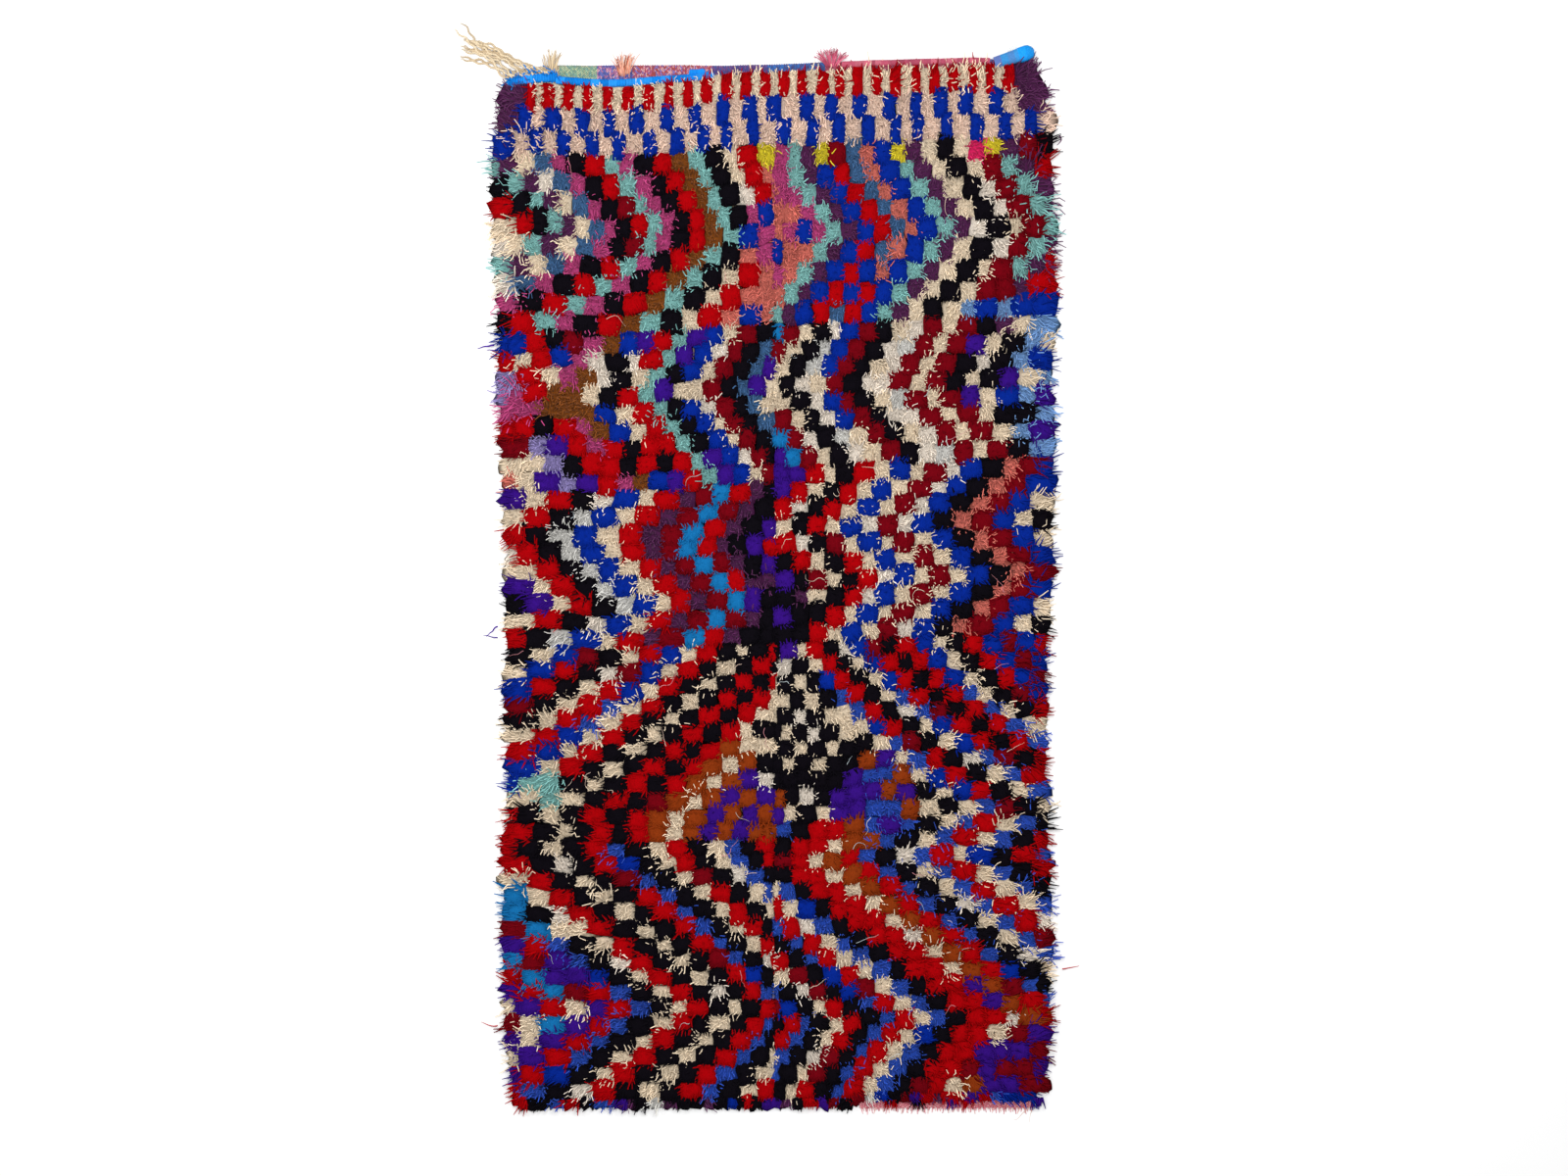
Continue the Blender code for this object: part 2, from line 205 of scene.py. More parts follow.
def floor_outline(node):
    """The head, foot, left and right edges of a CAD node's flat back, each as its sorted points."""
    points = {(round(v.co.x, 5), round(v.co.y, 5)) for v in node.data.vertices if v.co.z < 0.1 * MM}
    points = sorted(points, key=lambda p: math.atan2(p[1], p[0]))

    def corner(side, end):
        return points.index(max(points, key=lambda p: side * p[0] + end * p[1]))

    corners = [corner(-1, -1), corner(1, -1), corner(1, 1), corner(-1, 1)]
    lines = []
    for start, stop in zip(corners, corners[1:] + corners[:1]):
        count = (stop - start) % len(points) + 1
        lines.append(np.array([points[(start + k) % len(points)] for k in range(count)]))
    foot, right, head, left = lines
    return head[::-1], foot, left[::-1], right


head_line, foot_line, left_line, right_line = floor_outline(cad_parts["pile_field"])
foot_nominal = HEAD - sum(count * height for count, height in ROW_HEIGHTS)
WAVER = 10 * MM
WAVER_SIZE = 0.15
WAVER_EASE = 10


def warped(x, y):
    """A place on the straight chart, moved to where it lies on the real, slightly crooked rug."""
    share = (y - foot_nominal) / (HEAD - foot_nominal)
    head, foot = line_at(head_line, x), line_at(foot_line, x)
    ease = max(0, min(1, WAVER_EASE * share, WAVER_EASE * (1 - share)))
    return x, foot + share * (head - foot) + WAVER * smooth_noise(x, y, WAVER_SIZE) * ease


def edges_at(y):
    """Where the flat back's left and right edges are at a place along the rug."""
    return np.interp(y, left_line[:, 1], left_line[:, 0]), np.interp(y, right_line[:, 1], right_line[:, 0])


FIRST_BLOCK = (33 * MM, 36.5 * MM)  # width by the seam at the head, and farther down
BLOCK_GROWTH = {-1: (0, 0.67 * MM), 1: (0.3 * MM, 0.4 * MM)}
WIDENING_ROWS = (7, 21)
TURN_STRETCH = 15
THINNEST_BLOCK = 0.25


def block_scale(row, side):
    """Width of the first block and how much each next one grows, going outward from the seam."""
    first = np.interp(row, WIDENING_ROWS, FIRST_BLOCK)
    return first, np.interp(row, WIDENING_ROWS, BLOCK_GROWTH[side])


def stripe_blocks(row, side, reach):
    """The blocks of one half of a row: distances from the seam, column counted from it, and letter."""
    zones = LEFT_ZONES if side < 0 else RIGHT_ZONES
    _, first_place, letters, turns = [zone for zone in zones if zone[0] <= row][-1]
    rows = [turn[0] for turn in turns]
    by_seam = np.interp(row, rows, [turn[1] for turn in turns])
    by_edge = np.interp(row, rows, [turn[2] for turn in turns])
    stretch = 1 - (by_edge - by_seam) / TURN_STRETCH
    first, growth = block_scale(row, side)

    def distance(place):
        steps = max((place + by_seam) / stretch, 0)
        return first * steps + growth * steps * steps

    blocks = []
    place = math.floor(-by_seam)
    while distance(place) < reach:
        start, stop = distance(place), min(distance(place + 1), reach)
        if stop - start > THINNEST_BLOCK * first:
            letter = letters[min(max(place - first_place, 0), len(letters) - 1)]
            blocks.append((start, stop, round(place + by_seam), letter))
        elif blocks:
            blocks[-1] = (blocks[-1][0], stop, *blocks[-1][2:])
        place += 1
    blocks[0] = (0, *blocks[0][1:])
    return blocks


HEAD_BAND = (  # letters in turn, their widths, what the first block has more, the layer of its random widths
    ("RC", (20 * MM, 25 * MM), 0, 0),
    ("FB", (38 * MM, 26 * MM), 0, 1),
    ("BF", (25 * MM, 38 * MM), 8 * MM, 1),
)
HEAD_BAND_VARIES = (0.85, 1.15)
HEAD_BAND_END = 8 * MM
CORNER_ROWS = 2
CORNER_LEFT = 60 * MM
CORNER_RIGHT = 70 * MM


def head_band_blocks(row, left, right):
    """The checked border at the head: red and cream bars, then two rows of blue and pink checks."""
    letters, widths, first_extra, layer = HEAD_BAND[row]
    blocks = []
    x = left
    while x < right - HEAD_BAND_END:
        number = len(blocks)
        width = widths[number % 2] * between(HEAD_BAND_VARIES, steady(number, layer, 3))
        stop = x + width + (first_extra if number == 0 else 0)
        is_corner = row < CORNER_ROWS and (stop < left + CORNER_LEFT or x > right - CORNER_RIGHT)
        blocks.append((x, min(stop, right), "P" if is_corner else letters[number % 2]))
        x = stop
    blocks[-1] = (blocks[-1][0], right, blocks[-1][2])
    return blocks


def motif_letter(x, y, row, column, letter):
    """The letter after the small fillings are laid over the stripes. Columns are counted from the seam."""
    for middle_x, middle_y, half_width, half_height, use, letters in MOTIFS:
        if abs(x - middle_x) / half_width + abs(y - middle_y) / half_height < 1:
            pick = column + row if use == "checks" else 2 * column + 3 * row + int(2 * steady(x, y, 5))
            letter = letters[pick % len(letters)]
    return letter


STAND_INS = {"C": "CCCCCW", "R": "RRRRRRRRRD", "W": "WC", "G": "GW"}
MIXED_ROWS = range(12, 20)
MIXED_STAND_INS = {"V": "VVCK", "B": "BBC"}
BLUE_COTTON_FROM = 33


def irregular(letter, x, y, row):
    """Now and then the weaver takes up another yarn of nearly the same colour. The lower blue is a cotton."""
    choices = STAND_INS.get(letter, letter)
    if row in MIXED_ROWS:
        choices = MIXED_STAND_INS.get(letter, choices)
    if letter == "B" and row >= BLUE_COTTON_FROM:
        choices = "QQQB"
    return choices[int(steady(x, y, 9) * len(choices))]


FOOT_BLOCK = (16 * MM, 38 * MM)
FOOT_BLOCK_LAST = 12 * MM


def foot_blocks(left, right):
    """The last row, half hidden: small mixed knots of whatever yarn was left."""
    blocks = []
    x = left
    while x < right:
        stop = x + between(FOOT_BLOCK, steady(x, 3, 4))
        stop = right if right - stop < FOOT_BLOCK_LAST else stop
        blocks.append((x, stop, FOOT_LETTERS[int(steady(x, 3, 3) * len(FOOT_LETTERS))]))
        x = stop
    return blocks


def striped_row(row, lower, upper, left, right):
    """A row of both halves' stripes, with the fillings and the single knots laid over them."""
    middle = (upper + lower) / 2
    blocks = []
    for side, reach in ((-1, SEAM - left), (1, right - SEAM)):
        for start, stop, count, letter in stripe_blocks(row, side, reach):
            x = SEAM + side * (start + stop) / 2
            column = count if side > 0 else -1 - count
            letter = irregular(motif_letter(x, middle, row, column, letter), x, middle, row)
            near, far = sorted((SEAM + side * start, SEAM + side * stop))
            for spot_x, spot_y, spot_letter in SPOTS:
                if near < spot_x < far and lower < spot_y < upper:
                    letter = spot_letter
            blocks.append((near, far, letter))
    return sorted(blocks)


def chart_rows():
    """Every row of the chart: its upper and lower edge on the chart, and its blocks (left, right, letter)."""
    rows = []
    upper = HEAD
    for height in (height for count, height in ROW_HEIGHTS for _ in range(count)):
        row, lower = len(rows), upper - height
        left, right = edges_at((upper + lower) / 2)
        if row < len(HEAD_BAND):
            blocks = head_band_blocks(row, left, right)
        elif row == FOOT_ROW:
            blocks = foot_blocks(left, right)
        else:
            blocks = striped_row(row, lower, upper, left, right)
        rows.append((upper, lower, blocks))
        upper = lower
    return rows


chart = chart_rows()


def letter_at(x, y):
    """The chart's letter at a place on the real rug."""
    head, foot = line_at(head_line, x), line_at(foot_line, x)
    nominal = foot_nominal + (y - foot) / (head - foot) * (HEAD - foot_nominal)
    for upper, lower, blocks in chart:
        if nominal > lower:
            break
    for start, stop, letter in blocks:
        if x < stop:
            break
    return letter


def linear(hex_text):
    """An sRGB hex colour as linear RGBA."""
    values = [int(hex_text[k : k + 2], 16) / 255 for k in (0, 2, 4)]
    return (*[v / 12.92 if v <= 0.04045 else ((v + 0.055) / 1.055) ** 2.4 for v in values], 1)


def add_node(tree, kind, inputs=(), **settings):
    """Adds a node with its settings. inputs maps a socket's name or number to a value or a socket to link.

    A node given instead of a socket stands for its first output in use.
    """
    node = tree.nodes.new(kind)
    for name, value in settings.items():
        setattr(node, name, value)
    for name, value in dict(inputs).items():
        if isinstance(value, bpy.types.Node):
            value = next(output for output in value.outputs if output.enabled)
        if isinstance(value, bpy.types.NodeSocket):
            tree.links.new(value, node.inputs[name])
        else:
            node.inputs[name].default_value = value
    return node


def new_material(name):
    material = bpy.data.materials.new(name)
    material.use_nodes = True
    return material, material.node_tree, material.node_tree.nodes["Principled BSDF"]


def add_object(name, data):
    obj = bpy.data.objects.new(name, data)
    bpy.context.scene.collection.objects.link(obj)
    return obj


def mesh_object(name, vertices, faces, material, smooth=True):
    mesh = bpy.data.meshes.new(name)
    mesh.from_pydata(vertices, [], faces)
    mesh.materials.append(material)
    if smooth:
        mesh.shade_smooth()
    return add_object(name, mesh)


def add_values(obj, name, kind, domain, values):
    """Stores one value for each point or face of a piece, for its material to read."""
    field = "color" if kind == "FLOAT_COLOR" else "value"
    obj.data.attributes.new(name, kind, domain).data.foreach_set(field, np.array(values).ravel())


# Undyed cotton ground, wool and cotton knots beaten down hard: matt, with a fine bead in each knot.
ground_material, tree, shader = new_material("woven cotton ground with knot backs")
tint = add_node(tree, "ShaderNodeAttribute", attribute_name="colour")
place = add_node(tree, "ShaderNodeTexCoord").outputs["Object"]
knots = add_node(tree, "ShaderNodeTexVoronoi", {"Vector": place, "Scale": 180})
fibres = add_node(tree, "ShaderNodeTexNoise", {"Vector": place, "Scale": 900, "Detail": 3})
mix = add_node(tree, "ShaderNodeMix", {"Factor": knots, 6: tint, 7: linear("B9A78C")}, data_type="RGBA")
height = add_node(tree, "ShaderNodeMath", {0: fibres, 1: knots}, operation="SUBTRACT")
bump = add_node(tree, "ShaderNodeBump", {"Height": height, "Strength": 0.5, "Distance": 1.0 * MM})
tree.links.new(mix.outputs[2], shader.inputs["Base Color"])
tree.links.new(bump.outputs["Normal"], shader.inputs["Normal"])
shader.inputs["Roughness"].default_value = 0.92
shader.inputs["Sheen Weight"].default_value = 0.2

GROUND_SIZE = (1.24, 2.35)
GROUND_THICKNESS = 3 * MM
GROUND_CELL = 20 * MM
GROUND_MARGIN = 4 * MM


def build_ground():
    """The ground as a thin closed sheet, its cells coloured by the knots on them."""
    across, along = (round(size / GROUND_CELL) for size in GROUND_SIZE)
    vertices = []
    for z in (0, GROUND_THICKNESS):
        for j in range(along + 1):
            for i in range(across + 1):
                y = foot_nominal + (HEAD - foot_nominal) * j / along
                left, right = edges_at(y)
                x = left + GROUND_MARGIN + (right - left - 2 * GROUND_MARGIN) * i / across
                head = line_at(head_line, x) - GROUND_MARGIN
                foot = line_at(foot_line, x) + GROUND_MARGIN
                vertices.append((x, foot + (head - foot) * j / along, z))
    width = across + 1
    top = width * (along + 1)
    faces = []
    for j in range(along):
        for i in range(across):
            a = j * width + i
            faces.append((a, a + width, a + width + 1, a + 1))
            faces.append((top + a, top + a + 1, top + a + width + 1, top + a + width))
    rim = list(range(across))
    rim += [j * width + across for j in range(along)]
    rim += [along * width + i for i in range(across, 0, -1)]
    rim += [j * width for j in range(along, 0, -1)]
    for a, b in zip(rim, rim[1:] + rim[:1]):
        faces.append((a, b, top + b, top + a))
    obj = mesh_object("ground", vertices, faces, ground_material, smooth=False)
    letters = [letter_at(face.center.x, face.center.y) for face in obj.data.polygons]
    add_values(obj, "colour", "FLOAT_COLOR", "FACE", [linear(YARNS[letter][1]) for letter in letters])
    return obj


ground = build_ground()
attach(ground, "root")

# The pile's body. Wool knots, tied to the ground in rows, felt with wear into soft velvety blocks that touch
# each other. Cotton knots keep their ends apart, so under them lies only a low body, in painted shade.
# Every lump is painted darker towards its foot, as shade in the gaps between blocks and ends.

BODY_STEPS = (-1, -0.86, -0.3, 0.3, 0.86, 1)
BODY_OVERLAP = 1.3
BODY_SQUARENESS = 10
BODY_SHARE = {"wool": 0.92, "cotton": 0.54}
# Painted shade: a lump's colour is multiplied down at its foot, where it meets the gap to the next.
BODY_SHADE = {"wool": (0.92, 1.0), "cotton": (0.36, 0.68)}  # at the foot of a lump, and on its top
BODY_RAGGED = 8 * MM
RAGGED_SIZE = 18 * MM
BODY_LUMPS = 2 * MM
LUMP_SIZE = 20 * MM
LEAST_PILE = 9 * MM
RIM_REACH = 30 * MM
RIM_INSET = 3 * MM
LOCK_SPREAD = 0.6
FOOT_REACH = 12 * MM
AT_RIM = 2 * MM
BLOCK_SKEW = 0.36
BLOCK_STRETCH = 0.26
BLOCK_SHIFT = 9 * MM
SHIFT_AT_EDGE = 0.3
BLOCK_EDGE_ZONE = 0.57
BLOCK_END_ZONE = 1.13
CORNER_ROUNDING = 0.04


def solid_tree(node):
    """A CAD node's solid, for casting rays at it."""
    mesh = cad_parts[node].data
    faces = [tuple(face.vertices) for face in mesh.polygons]
    return BVHTree.FromPolygons([v.co for v in mesh.vertices], faces)


field_tree = solid_tree("pile_field")


def pile_height(x, y):
    """Height of the CAD field's top at a place, or nothing past its rim."""
    hit = field_tree.ray_cast(Vector((x, y, 1)), Vector((0, 0, -1)))[0]
    return hit.z if hit else 0


def block_point(block, u, v):
    """A place on the rug, from u and v that run from -1 to 1 in its block. No block is quite square."""
    left, right, lower, upper = block[:4]
    middle_x, middle_y = (left + right) / 2, (lower + upper) / 2
    near_edge = abs(middle_x - SEAM) > BLOCK_EDGE_ZONE or abs(middle_y) > BLOCK_END_ZONE
    shift = BLOCK_SHIFT * (SHIFT_AT_EDGE if near_edge else 1)
    skew = BLOCK_SKEW * (steady(middle_x, middle_y, 61) - 0.5)
    stretch = 1 + BLOCK_STRETCH * (steady(middle_x, middle_y, 62) - 0.5)
    shift_x = shift * (steady(middle_x, middle_y, 63) - 0.5)
    shift_y = shift * (steady(middle_x, middle_y, 64) - 0.5)
    round_u = u * (1 - CORNER_ROUNDING * abs(v) ** 3) * stretch + skew * v
    round_v = v * (1 - CORNER_ROUNDING * abs(u) ** 3) / stretch - skew * u
    x = middle_x + shift_x + round_u * (right - left) / 2
    y = middle_y + shift_y + round_v * (upper - lower) / 2
    return warped(x, y)


# All blocks of the chart: left, right, lower and upper edge, and letter.
all_blocks = [(*sides, lower, upper, letter) for upper, lower, blocks in chart for *sides, letter in blocks]

# Carded wool, felted by wear: velvety, with no gloss. Colour is full on top, with painted shade into the
# gaps.
body_material, tree, shader = new_material("felted carded wool")
tint = add_node(tree, "ShaderNodeAttribute", attribute_name="colour")
# Painted shade of each point, darker towards the foot of its lump.
painted_gap_shade = add_node(tree, "ShaderNodeAttribute", attribute_name="painted_gap_shade").outputs["Fac"]
place = add_node(tree, "ShaderNodeTexCoord").outputs["Object"]
fuzz = add_node(tree, "ShaderNodeTexNoise", {"Vector": place, "Scale": 420, "Detail": 4, "Roughness": 0.7})
stretched = add_node(tree, "ShaderNodeVectorMath", {0: place, 1: (2.4, 1.0, 1.0)}, operation="MULTIPLY")
folds = add_node(
    tree, "ShaderNodeTexNoise", {"Vector": stretched, "Scale": 110, "Detail": 3, "Distortion": 0.8}
)
# Painted shade along the folds: the colour darkens where the fold relief of the bump is low.
shade = add_node(tree, "ShaderNodeMapRange", {"Value": folds, 1: 0.3, 2: 0.6, 3: 0.78, 4: 1.0})
fleck = add_node(tree, "ShaderNodeMapRange", {"Value": fuzz, 1: 0.3, 2: 0.7, 3: 0.8, 4: 1.12})
tone = add_node(tree, "ShaderNodeMath", {0: shade, 1: fleck}, operation="MULTIPLY")
tone = add_node(tree, "ShaderNodeMath", {0: tone, 1: painted_gap_shade}, operation="MULTIPLY")
colour = add_node(
    tree, "ShaderNodeMix", {"Factor": 1.0, 6: tint, 7: tone}, data_type="RGBA", blend_type="MULTIPLY"
)
relief = add_node(tree, "ShaderNodeMath", {0: folds, 1: fuzz}, operation="ADD")
bump = add_node(tree, "ShaderNodeBump", {"Height": relief, "Strength": 0.7, "Distance": 2.5 * MM})
tree.links.new(colour.outputs[2], shader.inputs["Base Color"])
tree.links.new(bump.outputs["Normal"], shader.inputs["Normal"])
shader.inputs["Roughness"].default_value = 1.0
shader.inputs["Specular IOR Level"].default_value = 0.03


def rim_reach(block, u, v):
    """How far a block's edge is drawn out past the rug's side or foot, as pointed locks."""
    left, right, lower, upper = block[:4]
    edge_left, edge_right = edges_at((lower + upper) / 2)
    across, along = 0, 0
    if abs(u) == 1 and (right > edge_right - AT_RIM if u > 0 else left < edge_left + AT_RIM):
        lock_place = LOCK_SPREAD * (2 * steady(left, lower, 73) - 1)
        lock = max(0, 1 - abs(v - lock_place)) * steady(left, lower, 75)
        across = u * (RIM_REACH * (0.4 * steady(left, lower, v, 71) + 0.6 * lock) - RIM_INSET)
    if v == -1 and lower < foot_nominal + AT_RIM:
        along = -FOOT_REACH * steady(left, lower, u, 72)
    return across, along


def body_point(block, kind, u, v):
    """A point of a block's lump, and its painted shade: the rim lies on the ground, the top is up in the
    pile.
    """
    x, y = block_point(block, u * BODY_OVERLAP, v * BODY_OVERLAP)
    reach_x, reach_y = rim_reach(block, u, v)
    x += BODY_RAGGED * smooth_noise(x, y, RAGGED_SIZE, 21) + reach_x
    y += BODY_RAGGED * smooth_noise(x, y, RAGGED_SIZE, 27) + reach_y
    dome = (1 - u**BODY_SQUARENESS) ** 0.5 * (1 - v**BODY_SQUARENESS) ** 0.5
    top = BODY_SHARE[kind] * max(pile_height(x, y), LEAST_PILE)
    top += BODY_LUMPS * smooth_noise(x, y, LUMP_SIZE, 31)
    return (x, y, between((GROUND_THICKNESS, top), dome)), between(BODY_SHADE[kind], dome)


def build_pile_body():
    """One closed lump for each block of the chart."""
    vertices, faces, colours, shades = [], [], [], []
    count = len(BODY_STEPS)
    last = count - 1
    rim = [(i, 0) for i in range(last)]
    rim += [(last, j) for j in range(last)]
    rim += [(i, last) for i in range(last, 0, -1)]
    rim += [(0, j) for j in range(last, 0, -1)]
    for block in all_blocks:
        kind, hex_text = YARNS[block[4]]
        base = len(vertices)
        for v in BODY_STEPS:
            for u in BODY_STEPS:
                point, shade = body_point(block, kind, u, v)
                vertices.append(point)
                shades.append(shade)
        for j in range(last):
            for i in range(last):
                a = base + j * count + i
                faces.append((a, a + 1, a + count + 1, a + count))
        faces.append([base + j * count + i for i, j in reversed(rim)])
        colours += [linear(hex_text)] * (last * last + 1)
    obj = mesh_object("pile_body", vertices, faces, body_material)
    add_values(obj, "colour", "FLOAT_COLOR", "FACE", colours)
    # Painted shade at each point: darker at the foot of its lump.
    add_values(obj, "painted_gap_shade", "FLOAT", "POINT", shades)
    return obj


pile_body = build_pile_body()
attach(pile_body, "root")
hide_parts("pile_field")

# The pile's ends. Cotton knots show their cut ends as curly strands all over their block. Felted wool knots
# show only soft points along the edges of theirs, and a few on top. All fall outward at the rug's sides.

COTTON_PITCH = 7.2 * MM
WOOL_PITCH = (11 * MM, 6.5 * MM)  # along edges that the yarns lie beside, and along edges that they fall over
WOOL_EDGE = 0.86
WOOL_TOP_ENDS = 4
WOOL_TOP_SPAN = 0.7
ROOT_SPAN = {"cotton": 0.9, "wool": 1.0}
ROOT_SHARE = {"cotton": 0.98, "wool": 0.9}
END_RISE = {"cotton": 0.65, "wool": 0.5}
END_LENGTH = {"cotton": 13 * MM, "wool": 8 * MM}
END_COMBED = {"cotton": 6 * MM, "wool": 7 * MM}
RIM_ZONE = (0.54, 0.60)
RIM_EXTRA = 9 * MM
RIM_RISE = 0.2
HEAD_ZONE = (HEAD - 0.04, HEAD)
HEAD_EXTRA = 9 * MM
HEAD_LEAN = 1.6
FOOT_ZONE_START = -1.06
FOOT_ZONE_LENGTH = 0.12
FOOT_LEAN = 0.9
LEAN_ACROSS = 0.9
LEAN_DOWN = 0.1
LEAN_SCATTER = (0.25, 0.3)  # across and along
LEAN_SCATTER_SIZE = 0.09
CROSSING_ALONG = (0.20, -0.15)
CROSSING_OUTWARD = (0.10, 0.35)
CROSSING_RIGHT = 0.6
CROSSING_SCATTER = 0.25
HALF_WIDTH = 0.63
FALL_ACROSS = (0.2, 0.7)  # how far a block's ends fall away from its middle, without and with crossing
FALL_ALONG = (0.7, 0.3)
BLOCK_LEAN = (0.9, 1.2)
BLOCK_LENGTH = (0.8, 1.2)
BLOCK_TINT = (0.88, 1.10)


def crossing_at(x, y):
    """How far the yarns lie across the rug instead of along it, from 0 to 1: most at the lower left."""
    crossing = ramp(y, *CROSSING_ALONG) * ramp(abs(x), *CROSSING_OUTWARD) * (1 if x < 0 else CROSSING_RIGHT)
    crossing += (abs(x) / HALF_WIDTH) ** 6 + CROSSING_SCATTER * smooth_noise(x, y, 0.1, 5)
    return min(max(crossing, 0), 1)


def lean_at(x, y, crossing):
    """Which way the pile falls over this part of the rug: outward, down over the foot, and up at the head."""
    across = math.copysign(LEAN_ACROSS * crossing, x)
    across += LEAN_SCATTER[0] * smooth_noise(x, y, LEAN_SCATTER_SIZE, 11)
    along = -LEAN_DOWN - FOOT_LEAN * max(0, (FOOT_ZONE_START - y) / FOOT_ZONE_LENGTH)
    along += LEAN_SCATTER[1] * smooth_noise(x, y, LEAN_SCATTER_SIZE, 17)
    return across, along + HEAD_LEAN * ramp(y, *HEAD_ZONE)


def cotton_places(wide, tall):
    """Places of a cotton block's roots, all over it. They run from -1 to 1 each way."""
    counts = [max(2, round(span / COTTON_PITCH)) for span in (wide, tall)]
    across, along = ([(2 * k + 1) / count - 1 for k in range(count)] for count in counts)
    return [(u, v) for v in along for u in across]


def wool_places(wide, tall, crossing, number):
    """Places of a wool block's roots, along its edges and a few on top. They run from -1 to 1 each way."""
    places = []
    for is_side, span, close in ((False, wide, 1 - crossing), (True, tall, crossing)):
        count = max(2, round(span / between(WOOL_PITCH, close)))
        for k in range(count):
            along = (2 * k + 1) / count - 1
            for edge in (-WOOL_EDGE, WOOL_EDGE):
                places.append((edge, along) if is_side else (along, edge))
    for k in range(WOOL_TOP_ENDS):
        places.append([WOOL_TOP_SPAN * (2 * steady(number, k, axis) - 1) for axis in (1, 2)])
    return places


def lay_ends():
    """Every yarn end by kind: its root, its direction, its length and its colour."""
    ends = {"wool": [], "cotton": []}
    for number, block in enumerate(all_blocks):
        left, right, lower, upper, letter = block
        kind, hex_text = YARNS[letter]
        if kind == "cotton":
            places = cotton_places(right - left, upper - lower)
        else:
            crossing = crossing_at((left + right) / 2, (lower + upper) / 2)
            places = wool_places(right - left, upper - lower, crossing, number)
        lean_x = BLOCK_LEAN[0] * (steady(number, 3, 4) - 0.5)
        lean_y = BLOCK_LEAN[1] * (steady(number, 5, 6) - 0.5)
        reach = between(BLOCK_LENGTH, steady(number, 9, 2))
        tint = np.array(linear(hex_text)) * between(BLOCK_TINT, steady(number, 7, 8))
        for u, v in places:
            x, y = block_point(block, u * ROOT_SPAN[kind], v * ROOT_SPAN[kind])
            crossing = crossing_at(x, y)
            across, along = lean_at(x, y, crossing)
            across += u * between(FALL_ACROSS, crossing) + lean_x
            along += v * between(FALL_ALONG, crossing) + lean_y
            at_rim = ramp(abs(x), *RIM_ZONE)
            aim = Vector((across, along, END_RISE[kind] * between((1, RIM_RISE), at_rim))).normalized()
            root = BODY_SHARE[kind] * max(pile_height(x, y), LEAST_PILE) * ROOT_SHARE[kind]
            longer = END_COMBED[kind] * crossing + RIM_EXTRA * at_rim**2 + HEAD_EXTRA * ramp(y, *HEAD_ZONE)
            ends[kind].append(((x, y, root), aim, (END_LENGTH[kind] + longer) * reach, tint))
    return ends


FLOOR_GAP = 0.3 * MM
PILE_TOP = 40 * MM
FAR = 9.0


